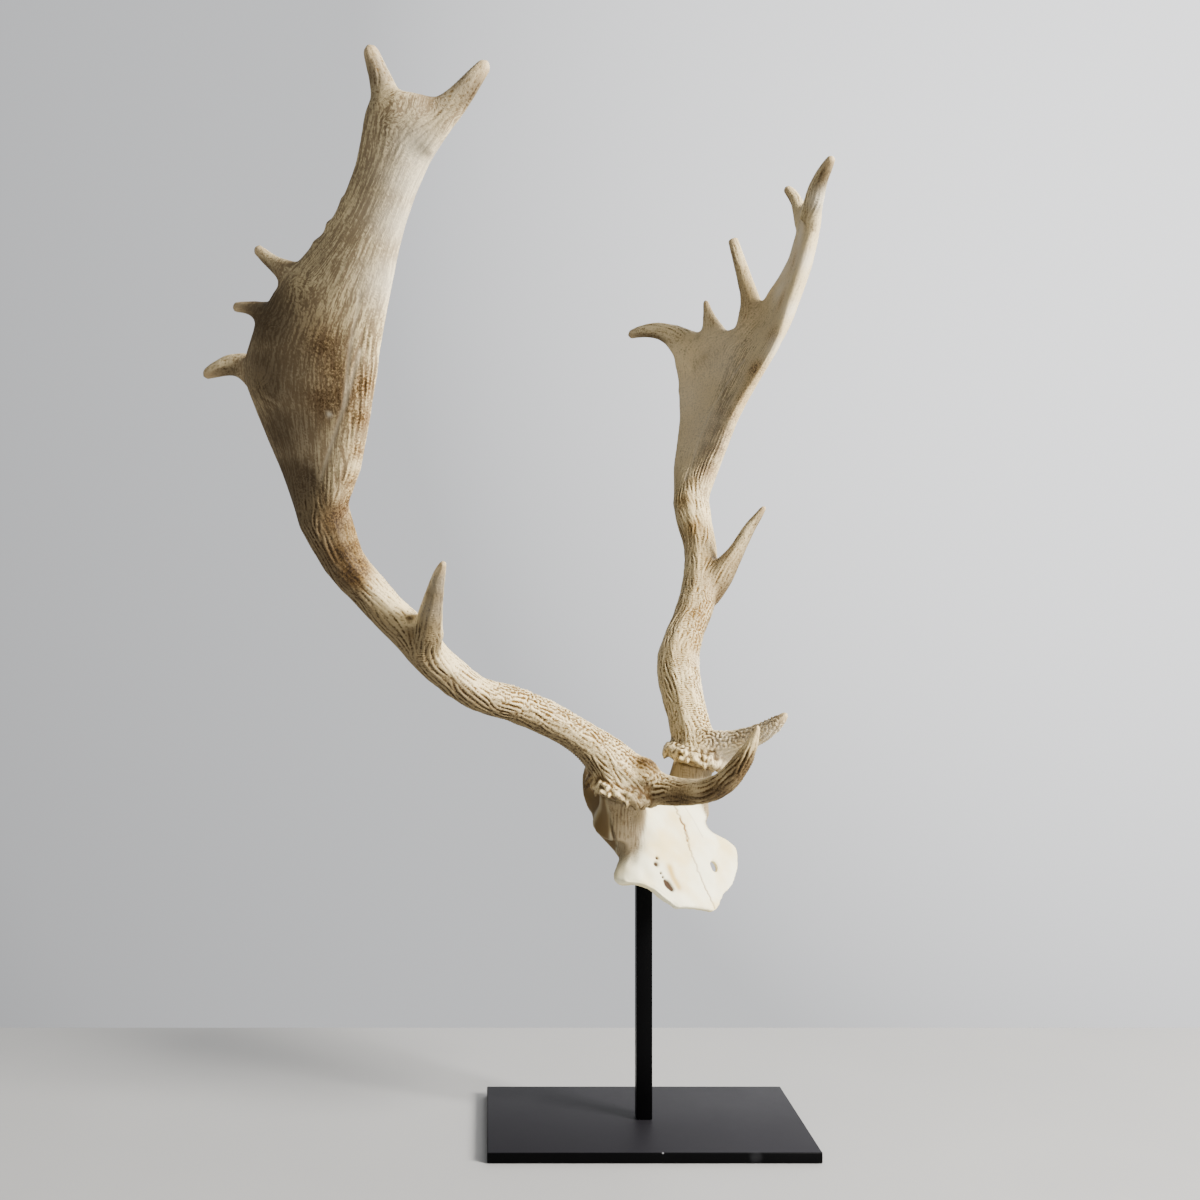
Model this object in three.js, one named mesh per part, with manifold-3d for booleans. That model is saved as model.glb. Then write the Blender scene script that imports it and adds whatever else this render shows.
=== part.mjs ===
// A pair of fallow deer antlers, still joined by the cap of the skull, on a steel display stand.
// Millimetres, +Z up. The origin is the centre of the base plate's underside.
// The deer looks along +X and -Y, so its right antler is on the -Y side and its left one on +Y.

import * as THREE from 'three';
import Module from 'manifold-3d';
import { mergeVertices } from 'three/addons/utils/BufferGeometryUtils.js';

const wasm = await Module();
wasm.setup();

// ---------------------------------------------------------------- driving dimensions

const GAP = 0.3; // room left between two pieces that touch

const PLATE = { width: 240, depth: 130, thick: 8 };
const POST = { side: 12, top: 262, socketPlay: 0.4 };

// The skull's own frame: X runs down the forehead to the nose, Y to the deer's left, Z out of the bone.
const SKULL = {
  middle: [10, -30, 258],
  noseward: [0.334, -0.309, -0.891],
  leftward: [0.772, 0.632, 0.07],
  wall: 6,
};

const BEAM_SIDES = 18; // every second corner is the crest of a lengthwise ridge
const PALM_SIDES = 24;
const TINE_SIDES = 10;
const POINT_SIDES = 8;
const RIDGE = 0.9; // height of the ridges above and below the mean surface
const TINE_RIDGE = 0.4;
const PALM_GROOVE = 0.35;

// A burr is a collar of pearls. Its profile is a list of [height, share of the radius], where the
// height is a share of the thickness.
const BURR = {
  pearls: 12,
  sides: 36,
  pearlHeight: 1.9,
  thick: 11,
  profile: [[-0.42, 0.7], [-0.3, 0.93], [0.02, 1], [0.34, 0.92], [0.6, 0.7]],
};
const BELOW_BURR = 160; // size of the block that trims what would reach below the burr

const PEDICLE = { foot: [10, 33, -18], footRadius: 22, radius: 16, sides: 20 };
const BRAINCASE = { half: [42, 37, 32], tilt: -0.5, middle: [-16, 0, -46], extraWall: 3 };

// A branch is a list of stations [x, y, z, half width], and a flat one adds its half thickness.
// A palm is a list of chords from its front edge to its back edge, with the half thickness of both,
// and its points are branches. A knob [x, y, z, radius] swells the beam between burr and brow tine.
// "face" points through the flat of the palm, towards +Y, and "bow" is how far its middle bulges to
// the side that faces away from the other antler.

const RIGHT = {
  side: 'right',
  face: [0.43, 0.8, 0.41],
  outward: -1,
  burr: { at: [-24, -58, 266], up: [0.32, -0.12, 0.94], radius: 25 },
  beam: [
    [-12, -57, 264, 17],
    [-22, -60, 276, 18],
    [-35, -63, 290, 15.3],
    [-48, -66, 301, 12.4],
    [-63, -70, 311, 11.5],
    [-82, -74, 321, 11.8],
    [-106, -82, 331, 11.6],
    [-128, -95, 338, 11.2],
    [-154, -114, 359, 12],
    [-172, -126, 380, 12.3],
    [-186, -134, 394, 11.8],
    [-198, -139, 408, 12.2],
    [-213, -146, 426, 13],
    [-225, -156, 455, 17.2],
  ],
  palm: [
    { front: [-200, -179, 481], back: [-251, -150, 485], thick: [11, 9], bow: 3 },
    { front: [-191, -195, 516], back: [-266, -156, 519], thick: [10, 6], bow: 6 },
    { front: [-184, -212, 548], back: [-273, -170, 551], thick: [9.5, 5], bow: 9 },
    { front: [-176, -229, 580], back: [-249, -201, 586], thick: [9, 5], bow: 8 },
    { front: [-167, -245, 612], back: [-213, -230, 615], thick: [8.5, 5], bow: 5 },
    { front: [-153, -259, 641], back: [-194, -252, 644], thick: [8, 5], bow: 4 },
    { front: [-138, -269, 662], back: [-188, -263, 668], thick: [6, 5], bow: 4 },
    { front: [-146, -268, 673], back: [-182, -264, 680], thick: [3.5, 3.5], bow: 3 },
  ],
  points: [
    [
      [-256, -165, 536, 17, 6], [-277, -157, 551, 8.6, 6],
      [-291, -154, 550, 5.8, 5], [-301, -152, 546, 3, 3],
    ],
    [[-249, -190, 571, 14, 5], [-264, -185, 580, 4.8, 4.2], [-276, -181, 582, 2.8, 2.8]],
    [[-229, -211, 588, 13, 5.5], [-248, -204, 602, 4.9, 4.5], [-259, -200, 612, 2.8, 2.8]],
    [
      [-172, -262, 660, 14, 5], [-178, -263, 683, 8, 5],
      [-182, -264, 695, 5.2, 4.6], [-185, -265, 703, 3.8, 3.6],
    ],
    [
      [-158, -268, 652, 12, 5], [-137, -273, 671, 7.8, 5],
      [-127, -276, 682, 5.2, 4.6], [-121, -277, 689, 3.5, 3.3],
    ],
  ],
  knob: [-9, -66, 279, 12],
  trez: [
    [-170, -118, 372, 9],
    [-161, -124, 372, 11.5],
    [-158, -142, 386, 8.6],
    [-154, -160, 402, 6.2],
    [-150, -174, 416, 3.9],
    [-147, -181, 423, 1.6],
  ],
  brow: [
    [-16, -57, 272, 13],
    [2, -66, 268, 11.5],
    [16, -76, 267, 9.4],
    [31, -88, 269, 8.3],
    [43, -97, 276, 7.7],
    [51, -104, 287, 6.9],
    [58, -109, 300, 4.9],
    [62, -111, 311, 2.4],
    [63, -112, 316, 1.1],
  ],
};

const LEFT = {
  side: 'left',
  face: [0.52, 0.76, -0.38],
  outward: 1,
  burr: { at: [39, -6, 285], up: [0.22, -0.08, 0.97], radius: 24 },
  beam: [
    [42, -10, 279, 18],
    [38, 4, 300, 15.2],
    [36, 21, 320, 14.8],
    [34, 42, 340, 16.2],
    [36, 60, 360, 16.2],
    [45, 79, 381, 14.3],
    [55, 94, 400, 14.6],
    [63, 112, 427, 13.8],
    [66, 131, 455, 13.3],
    [63, 142, 474, 14.2],
    [61, 151, 497, 15.8],
  ],
  palm: [
    { front: [82, 141, 524], back: [50, 171, 529], thick: [11, 9], bow: 3 },
    { front: [94, 124, 564], back: [56, 181, 573], thick: [10, 6], bow: 9 },
    { front: [109, 112, 593], back: [55, 188, 611], thick: [9.5, 5], bow: 15 },
    { front: [124, 97, 620], back: [55, 189, 640], thick: [9, 4.5], bow: 18 },
    { front: [129, 88, 640], back: [106, 155, 652], thick: [8.5, 4.5], bow: 11 },
    { front: [134, 80, 658], back: [125, 134, 674], thick: [8.5, 4.5], bow: 7 },
    { front: [140, 69, 683], back: [141, 118, 701], thick: [8, 4.5], bow: 5 },
    { front: [145, 54, 711], back: [145, 99, 729], thick: [7, 4.5], bow: 3 },
    { front: [145, 47, 722], back: [144, 84, 738], thick: [5, 4], bow: 2 },
  ],
  points: [
    [
      [75, 180, 630, 22, 5], [50, 191, 653, 11, 5.5],
      [30, 199, 659, 7.2, 5.5], [14, 207, 657, 3.8, 3.4],
    ],
    [[87, 168, 636, 19, 5], [82, 176, 663, 6.6, 4.6], [79, 179, 680, 2, 2]],
    [
      [113, 142, 645, 18, 5], [113, 147, 672, 9.4, 5.5],
      [108, 150, 694, 6.6, 5.5], [99, 155, 729, 4.6, 4.4],
    ],
    [
      [142, 60, 714, 11, 6], [145, 44, 737, 7.4, 6],
      [148, 32, 746, 5.4, 5], [150, 22, 751, 3, 3],
    ],
    [
      [146, 90, 722, 9, 4.5], [143, 101, 743, 5.2, 4.4],
      [139, 107, 754, 4.1, 4], [136, 109, 758, 3, 3],
    ],
  ],
  brokenPoint: 2,
  knob: [52, -12, 281, 13],
  trez: [
    [66, 106, 408, 11],
    [77, 104, 426, 11.6],
    [86, 100, 440, 8.4],
    [92, 98, 450, 6.4],
    [101, 95, 467, 4.9],
    [107, 92, 476, 3.4],
    [112, 88, 484, 1.6],
  ],
  brow: [
    [36, -6, 291, 15],
    [50, -13, 293, 12.8],
    [62, -21, 296, 9.8],
    [74, -30, 301, 7.8],
    [84, -39, 307, 6.7],
    [92, -46, 314, 4.6],
    [97, -50, 320, 1.8],
  ],
};

// ---------------------------------------------------------------- materials

const SATIN_BLACK = new THREE.MeshStandardMaterial({ color: 0x1b1b1d, roughness: 0.45, metalness: 0.6 });
const BONE = new THREE.MeshStandardMaterial({ color: 0xe9dfc6, roughness: 0.55, metalness: 0 });
const ANTLER = new THREE.MeshStandardMaterial({ color: 0xc9b48f, roughness: 0.6, metalness: 0 });
const ANTLER_PALE = new THREE.MeshStandardMaterial({ color: 0xd8c8a6, roughness: 0.6, metalness: 0 });

// ---------------------------------------------------------------- closed meshes and solids

const vec = (point) => new THREE.Vector3(point[0], point[1], point[2]);

// Joins rings of equal length into a closed skin. Each ring runs from "front" to "side" about the
// direction of travel, and a fan to an apex closes each end.
function closedLoft(rings, firstApex, lastApex) {
  const sides = rings[0].length;
  const points = [firstApex, ...rings.flat(), lastApex];
  const index = [];
  for (let side = 0; side < sides; side++) {
    const next = (side + 1) % sides;
    index.push(0, 1 + next, 1 + side);
    for (let ring = 0; ring < rings.length - 1; ring++) {
      const here = 1 + ring * sides;
      const there = here + sides;
      index.push(here + side, here + next, there + next);
      index.push(here + side, there + next, there + side);
    }
    const last = 1 + (rings.length - 1) * sides;
    index.push(last + side, last + next, points.length - 1);
  }
  const geometry = new THREE.BufferGeometry().setFromPoints(points);
  geometry.setIndex(index);
  return geometry;
}

function toSolid(geometry) {
  const bare = geometry.clone();
  bare.deleteAttribute('normal');
  bare.deleteAttribute('uv');
  const merged = mergeVertices(bare);
  const vertProperties = new Float32Array(merged.attributes.position.array);
  const triVerts = new Uint32Array(merged.index.array);
  return new wasm.Manifold(new wasm.Mesh({ numProp: 3, vertProperties, triVerts }));
}

function toMesh(name, solid, material) {
  const { vertProperties, triVerts } = solid.getMesh();
  const geometry = new THREE.BufferGeometry();
  geometry.setAttribute('position', new THREE.BufferAttribute(vertProperties, 3));
  geometry.setIndex(new THREE.BufferAttribute(triVerts, 1));
  geometry.computeVertexNormals();
  const mesh = new THREE.Mesh(geometry, material);
  mesh.name = name;
  return mesh;
}

// Keeps the main body of a cut, without the chips that the cut leaves.
function mainBody(solid) {
  const bodies = solid.decompose();
  return bodies.reduce((best, body) => (body.volume() > best.volume() ? body : best));
}

// A block whose top face passes through a point and is square to a direction.
function blockBelow(point, up, size) {
  const block = new THREE.BoxGeometry(size, size, size).translate(0, 0, -size / 2);
  const turn = new THREE.Quaternion().setFromUnitVectors(new THREE.Vector3(0, 0, 1), up);
  block.applyQuaternion(turn).translate(point.x, point.y, point.z);
  return toSolid(block);
}

// ---------------------------------------------------------------- sections along a route

const smoothThrough = (points) => new THREE.CatmullRomCurve3(points, false, 'catmullrom', 0.5);

function middleOf(ring) {
  const sum = ring.reduce((total, point) => total.add(point), new THREE.Vector3());
  return sum.divideScalar(ring.length);
}

// One ring: "front" and "side" are the directions of its long and short half axes.
function sectionRing(middle, front, side, sides, offsetAt) {
  const ring = [];
  for (let corner = 0; corner < sides; corner++) {
    const angle = (2 * Math.PI * corner) / sides;
    const { along, across } = offsetAt(angle, corner);
    ring.push(middle.clone().addScaledVector(front, along).addScaledVector(side, across));
  }
  return ring;
}

// Rings of a round or oval branch, "steps" to each stretch between stations.
function branchRings(stations, face, { sides, steps, ridge = 0, grow = 0 }) {
  const route = smoothThrough(stations.map(vec));
  const size = smoothThrough(stations.map(([, , , wide, thick = wide]) => new THREE.Vector3(wide, thick, 0)));
  const count = (stations.length - 1) * steps;
  const rings = [];
  for (let step = 0; step <= count; step++) {
    const middle = route.getPoint(step / count);
    const travel = route.getTangent(step / count);
    const { x: wide, y: thick } = size.getPoint(step / count);
    const side = face.clone().addScaledVector(travel, -face.dot(travel)).normalize();
    const front = side.clone().cross(travel);
    const ridgeAt = (corner) => grow + (corner % 2 ? -ridge : ridge);
    rings.push(sectionRing(middle, front, side, sides, (angle, corner) => ({
      along: Math.cos(angle) * (wide + ridgeAt(corner)),
      across: Math.sin(angle) * (thick + ridgeAt(corner)),
    })));
  }
  return rings;
}

// Rings of the palm: flat, thick at the front edge, thin at the back one and bowed outwards.
function palmRings(chords, outward, steps) {
  const fronts = smoothThrough(chords.map((chord) => vec(chord.front)));
  const backs = smoothThrough(chords.map((chord) => vec(chord.back)));
  const sizes = smoothThrough(chords.map(({ thick, bow }) => new THREE.Vector3(thick[0], thick[1], bow)));
  const middleAt = (t) => fronts.getPoint(t).add(backs.getPoint(t)).multiplyScalar(0.5);
  const count = (chords.length - 1) * steps;
  const rings = [];
  for (let step = 0; step <= count; step++) {
    const t = step / count;
    const travel = middleAt(Math.min(t + 0.01, 1)).sub(middleAt(Math.max(t - 0.01, 0))).normalize();
    const chord = fronts.getPoint(t).sub(backs.getPoint(t));
    const half = chord.length() / 2;
    const front = chord.normalize();
    const side = travel.clone().cross(front).normalize();
    const size = sizes.getPoint(t);
    rings.push(sectionRing(middleAt(t), front, side, PALM_SIDES, (angle, corner) => {
      const along = Math.cos(angle);
      const thick = THREE.MathUtils.lerp(size.y, size.x, (along + 1) / 2);
      const groove = corner % 2 ? PALM_GROOVE : -PALM_GROOVE;
      const fullness = Math.sign(Math.sin(angle)) * Math.abs(Math.sin(angle)) ** 0.7;
      const bow = outward * size.z * (1 - along ** 2);
      return { along: along * half, across: fullness * (thick + groove) + bow };
    }));
  }
  return rings;
}

function loftSolid(rings, tip = 0) {
  const last = rings[rings.length - 1];
  const travel = middleOf(last).sub(middleOf(rings[rings.length - 2])).normalize();
  return toSolid(closedLoft(rings, middleOf(rings[0]), middleOf(last).addScaledVector(travel, tip)));
}

// ---------------------------------------------------------------- antler

// The coronet: a collar of pearls round the foot of the beam.
function burrSolid({ at, up, radius }, grow = 0) {
  const travel = vec(up).normalize();
  const side = new THREE.Vector3(0, 1, 0).addScaledVector(travel, -travel.y).normalize();
  const front = side.clone().cross(travel);
  const rings = BURR.profile.map(([height, share]) => {
    const middle = vec(at).addScaledVector(travel, height * BURR.thick);
    return sectionRing(middle, front, side, BURR.sides, (angle) => {
      const pearl = BURR.pearlHeight * Math.cos(BURR.pearls * angle) * (share > 0.8 ? 1 : 0.3);
      const reach = radius * share + pearl + grow;
      return { along: Math.cos(angle) * reach, across: Math.sin(angle) * reach };
    });
  });
  return loftSolid(rings);
}

function burrPlane({ at, up }) {
  const travel = vec(up).normalize();
  return { travel, under: vec(at).addScaledVector(travel, BURR.profile[0][0] * BURR.thick) };
}

function beamSolid(antler, rings, grow = 0) {
  const { travel, under } = burrPlane(antler.burr);
  const [x, y, z, radius] = antler.knob;
  const knob = new THREE.SphereGeometry(radius + grow, 10, 8).translate(x, y, z);
  return loftSolid(rings)
    .add(burrSolid(antler.burr, grow))
    .add(toSolid(knob))
    .subtract(blockBelow(under, travel, BELOW_BURR));
}

function palmSolid(antler, rootRing) {
  const face = vec(antler.face).normalize();
  const rings = [rootRing, ...palmRings(antler.palm, antler.outward, 2)];
  let palm = loftSolid(rings, 1);
  antler.points.forEach((route, index) => {
    const point = branchRings(route, face, { sides: POINT_SIDES, steps: 2 });
    const tip = index === antler.brokenPoint ? 0 : route.at(-1)[3] * 0.8;
    palm = palm.add(loftSolid(point, tip));
  });
  return palm;
}

// Rings of the palm's root lie on the end of the beam, a gap further on.
function nextAcross(rings) {
  const last = rings[rings.length - 1];
  const travel = middleOf(last).sub(middleOf(rings[rings.length - 2])).normalize();
  return last.map((point) => point.clone().addScaledVector(travel, GAP));
}

function makeAntler(antler) {
  const face = vec(antler.face).normalize();
  const { travel, under } = burrPlane(antler.burr);
  const ridged = { sides: BEAM_SIDES, steps: 2, ridge: RIDGE };
  const beamRings = branchRings(antler.beam, face, ridged);
  const rootRing = nextAcross(branchRings(antler.beam, face, { sides: PALM_SIDES, steps: 2 }));
  const clearance = beamSolid(antler, branchRings(antler.beam, face, { ...ridged, grow: GAP }), GAP);
  const tine = (stations) => {
    const rings = branchRings(stations, face, { sides: TINE_SIDES, steps: 2, ridge: TINE_RIDGE });
    const whole = loftSolid(rings, 1.2);
    return mainBody(whole.subtract(clearance).subtract(blockBelow(under, travel, BELOW_BURR)));
  };
  const group = new THREE.Group();
  group.add(
    toMesh(`${antler.side}_beam`, beamSolid(antler, beamRings), ANTLER),
    toMesh(`${antler.side}_palm`, palmSolid(antler, rootRing), ANTLER_PALE),
    toMesh(`${antler.side}_trez_tine`, tine(antler.trez), ANTLER_PALE),
    toMesh(`${antler.side}_brow_tine`, tine(antler.brow), ANTLER_PALE),
  );
  return group;
}

// ---------------------------------------------------------------- skull cap

function skullFrame() {
  const nose = vec(SKULL.noseward).normalize();
  const left = vec(SKULL.leftward).addScaledVector(nose, -vec(SKULL.leftward).dot(nose)).normalize();
  const crown = nose.clone().cross(left);
  return new THREE.Matrix4().makeBasis(nose, left, crown).setPosition(...SKULL.middle);
}

// Cross-sections of the forehead from behind the pedicles to the broken front edge:
// [place along the skull, half width, height of the crown].
const FOREHEAD = [
  [-20, 30, -18],
  [-6, 38, -5],
  [10, 45, 2],
  [24, 45, 4],
  [33, 47, 4],
  [42, 58, 4],
  [50, 63, 4],
  [64, 61, 4],
  [100, 50, 4],
];
const HALF_DEPTH = 32;
const SKULL_SIDES = 24;

function foreheadSolid(inset) {
  const boxy = (value) => Math.sign(value) * Math.abs(value) ** 0.62;
  const front = new THREE.Vector3(0, 1, 0);
  const side = new THREE.Vector3(0, 0, 1);
  const rings = FOREHEAD.map(([place, half, crown], index) => {
    const end = index === 0 ? inset : index === FOREHEAD.length - 1 ? -inset : 0;
    const middle = new THREE.Vector3(place + end, 0, crown - HALF_DEPTH);
    return sectionRing(middle, front, side, SKULL_SIDES, (angle) => ({
      along: boxy(Math.cos(angle)) * (half - inset),
      across: boxy(Math.sin(angle)) * (HALF_DEPTH - inset),
    }));
  });
  return loftSolid(rings);
}

function braincaseSolid(inset) {
  const dome = new THREE.SphereGeometry(1, 16, 12);
  dome.scale(...BRAINCASE.half.map((half) => half - inset));
  dome.rotateY(BRAINCASE.tilt).translate(...BRAINCASE.middle);
  return toSolid(dome);
}

// The bone is sawn off behind and broken away in front, along this line seen from the side and
// this one seen from above.
const SAW_LINE = [
  [-140, -44], [-12, -43], [8, -35], [24, -26], [34, -20], [52, -17], [62, -12], [130, -5],
  [130, -160], [-140, -160],
];
const FRONT_EDGE = [
  [-120, -90], [36, -90], [39, -63], [46, -62], [52, -58], [57, -49], [63, -42], [72, -36], [80, -29],
  [84, -14], [90, 2], [88, 13], [86, 20], [73, 38], [65, 49], [60, 58], [52, 66], [44, 90], [-120, 90],
];

function prismFromSide(outline, width) {
  const shape = new THREE.Shape(outline.map(([x, z]) => new THREE.Vector2(x, z)));
  const prism = new THREE.ExtrudeGeometry(shape, { depth: width, bevelEnabled: false });
  return toSolid(prism.rotateX(Math.PI / 2).translate(0, width / 2, 0));
}

function prismFromAbove(outline, height) {
  const shape = new THREE.Shape(outline.map(([x, y]) => new THREE.Vector2(x, y)));
  const prism = new THREE.ExtrudeGeometry(shape, { depth: height, bevelEnabled: false });
  return toSolid(prism.translate(0, 0, -height / 2));
}

// A hole right through the bone on the left, and two pits in it on the right.
const HOLES = [
  { at: [60, 21], long: 8, wide: 5.4, bottom: -40 },
  { at: [47, -36], long: 4, wide: 3, bottom: -4 },
  { at: [64, -31], long: 7, wide: 4.5, bottom: -4 },
];

// A round or oval hole or pit, sunk square to the forehead.
function drill({ at: [x, y], long, wide, bottom }) {
  const top = 20;
  const bit = new THREE.CylinderGeometry(1, 1, top - bottom, 12);
  bit.rotateX(Math.PI / 2).scale(long / 2, wide / 2, 1).translate(x, y, (bottom + top) / 2);
  return toSolid(bit);
}

// The bony stalk under a burr: flared where it leaves the skull, cut square just below the burr.
function pedicleSolid(antler, toSkull) {
  const { travel, under } = burrPlane(antler.burr);
  const top = under.clone().addScaledVector(travel, 6).applyMatrix4(toSkull);
  const [footX, footY, footZ] = PEDICLE.foot;
  const foot = new THREE.Vector3(footX, Math.sign(top.y) * footY, footZ);
  const waist = foot.clone().lerp(top, 0.5);
  const stations = [
    [...foot.toArray(), PEDICLE.footRadius],
    [...waist.toArray(), PEDICLE.radius],
    [...top.toArray(), PEDICLE.radius],
  ];
  const rings = branchRings(stations, new THREE.Vector3(0, 1, 0), { sides: PEDICLE.sides, steps: 2 });
  const lidPlane = under.clone().addScaledVector(travel, -GAP);
  const lid = blockBelow(lidPlane, travel.clone().negate(), BELOW_BURR);
  return toSolid(closedLoft(rings, foot, top)).subtract(moveSolid(lid, toSkull));
}

function moveSolid(solid, matrix) {
  return toSolid(toMesh('', solid, BONE).geometry.applyMatrix4(matrix));
}

function makeSkull() {
  const frame = skullFrame();
  const toSkull = frame.clone().invert();
  const socketSide = POST.side + 2 * POST.socketPlay;
  const socketTop = POST.top + GAP;
  const socket = new THREE.BoxGeometry(socketSide, socketSide, socketTop).translate(0, 0, socketTop / 2);
  const outside = foreheadSolid(0).add(braincaseSolid(0)).intersect(prismFromAbove(FRONT_EDGE, 300));
  const inside = foreheadSolid(SKULL.wall).add(braincaseSolid(SKULL.wall + BRAINCASE.extraWall));
  const openInside = inside.add(inside.translate(12, 0, -3)); // carried on through the front edge
  const pierced = HOLES.reduce((bone, hole) => bone.subtract(drill(hole)), outside);
  const skull = pierced
    .add(pedicleSolid(RIGHT, toSkull))
    .add(pedicleSolid(LEFT, toSkull))
    .subtract(openInside)
    .subtract(prismFromSide(SAW_LINE, 240))
    .subtract(moveSolid(toSolid(socket), toSkull));
  const group = new THREE.Group();
  group.add(toMesh('skull_cap', mainBody(skull), BONE));
  group.applyMatrix4(frame);
  return group;
}

// ---------------------------------------------------------------- stand

function makeStand() {
  const plate = new THREE.Mesh(new THREE.BoxGeometry(PLATE.width, PLATE.depth, PLATE.thick), SATIN_BLACK);
  plate.name = 'base_plate';
  plate.position.z = PLATE.thick / 2;
  const foot = PLATE.thick + GAP;
  const post = new THREE.Mesh(new THREE.BoxGeometry(POST.side, POST.side, POST.top - foot), SATIN_BLACK);
  post.name = 'post';
  post.position.z = (POST.top + foot) / 2;
  const group = new THREE.Group();
  group.add(plate, post);
  return group;
}

const antlers = new THREE.Group();
antlers.add(makeStand(), makeSkull(), makeAntler(RIGHT), makeAntler(LEFT));

export default antlers;
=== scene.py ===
# %% [markdown]
# # A pair of fallow deer antlers on a display stand
# The construction comes from the frame: eleven solids at their real size. This script gives them
# their looks. Each antler grew as one thing, so its four solids become one seamless skin, with
# grooves, pearls, stains, painted shade and painted light. The skull cap gets its seam and pits,
# and the stand its coating, with a grey film of dust and painted sheen on its tops.
# Everything is in metres, with +Z up and the origin under the middle of the base plate.

# %% Load the frame
import math

import bmesh
import bpy
import numpy as np
from mathutils import Matrix, Vector
from mathutils.kdtree import KDTree


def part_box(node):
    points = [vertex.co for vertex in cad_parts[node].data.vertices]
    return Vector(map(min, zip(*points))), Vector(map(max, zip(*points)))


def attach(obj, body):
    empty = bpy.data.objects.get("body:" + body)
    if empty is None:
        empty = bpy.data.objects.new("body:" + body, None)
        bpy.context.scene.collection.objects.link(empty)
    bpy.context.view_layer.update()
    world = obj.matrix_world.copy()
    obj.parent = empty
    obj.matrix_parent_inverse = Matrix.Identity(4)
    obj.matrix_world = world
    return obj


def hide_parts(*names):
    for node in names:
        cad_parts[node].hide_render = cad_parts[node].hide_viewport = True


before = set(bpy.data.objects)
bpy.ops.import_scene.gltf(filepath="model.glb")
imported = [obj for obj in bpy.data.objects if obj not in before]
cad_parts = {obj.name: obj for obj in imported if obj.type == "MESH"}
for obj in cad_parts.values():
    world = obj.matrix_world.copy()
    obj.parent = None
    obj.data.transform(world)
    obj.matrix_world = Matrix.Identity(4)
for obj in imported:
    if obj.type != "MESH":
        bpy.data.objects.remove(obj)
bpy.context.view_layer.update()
MM = 0.001
SEED = 7
print("nodes:", sorted(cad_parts))

# %% [markdown]
# ## Camera and lamps
# The camera looks straight along +Y from about the middle of the object, and a small shift frames
# it, so that upright lines stay upright. A soft lamp from the right gives the lit side, a weaker
# one from the left keeps the shaded side readable, one behind lifts the edges, and the sky fills
# the rest.

# %% New objects
def placed(name, data):
    """A new object in the scene, made from its data."""
    thing = bpy.data.objects.new(name, data)
    bpy.context.collection.objects.link(thing)
    return thing


# %% Camera
EYE = (-0.120, -0.9554, 0.3814)
IMAGE_WIDTH = 1200
FOCAL_PIXELS = 1246.6
SENSOR = 36.0
SHIFT_PIXELS = (113, 30)

camera_data = bpy.data.cameras.new("camera")
camera_data.sensor_width = SENSOR
camera_data.lens = SENSOR * FOCAL_PIXELS / IMAGE_WIDTH
camera_data.shift_x, camera_data.shift_y = (pixels / IMAGE_WIDTH for pixels in SHIFT_PIXELS)
camera = placed("camera", camera_data)
camera.location = EYE
camera.rotation_euler = (math.radians(90), 0, 0)
bpy.context.scene.camera = camera
print("lens:", round(camera_data.lens, 1), "mm")


# %% Lamps
MIDDLE = (-0.03, -0.06, 0.42)
# Each lamp: its name, place, size in metres, power in watts and colour.
LAMPS = [
    ("key", (1.66, -1.02, 1.25), 0.7, 185, (1.0, 0.975, 0.94)),
    ("fill", (-1.7, -1.5, 1.1), 1.2, 9.5, (0.96, 0.98, 1.0)),
    ("top", (0.7, 0.9, 1.8), 1.2, 14, (0.96, 0.98, 1.0)),
]


def softbox(name, place, size, power, colour):
    """A square lamp at a place, turned towards the middle of the object."""
    data = bpy.data.lights.new(name, "AREA")
    data.size, data.energy, data.color = size, power, colour
    lamp = placed(name, data)
    lamp.location = place
    lamp.rotation_euler = (Vector(MIDDLE) - Vector(place)).to_track_quat("-Z", "Y").to_euler()


for row in LAMPS:
    softbox(*row)
print("lamps:", [row[0] for row in LAMPS])

# %% [markdown]
# ## Shader helpers
# A material is a small program made of nodes. Wiring maths nodes by hand is slow to read, so one
# small class wraps an output socket and turns +, - and * into Math nodes. A second class holds a
# material's tree: one method adds any node, and a few short ones build on it.


# %% A socket that does sums
class Wire:
    """An output of a node. Sums on it add Math nodes."""

    def __init__(self, paint, socket):
        self.paint = paint
        self.socket = socket

    def maths(self, operation, *others):
        return self.paint.node("ShaderNodeMath", {"operation": operation}, (self, *others))

    def __add__(self, other):
        return self.maths("ADD", other)

    def __mul__(self, other):
        return self.maths("MULTIPLY", other)

    def __sub__(self, other):
        return self.maths("SUBTRACT", other)

    def __rsub__(self, other):
        return self * -1 + other

    __radd__ = __add__
    __rmul__ = __mul__

    def least(self, other):
        """The smaller of the two."""
        return self.maths("MINIMUM", other)


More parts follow.
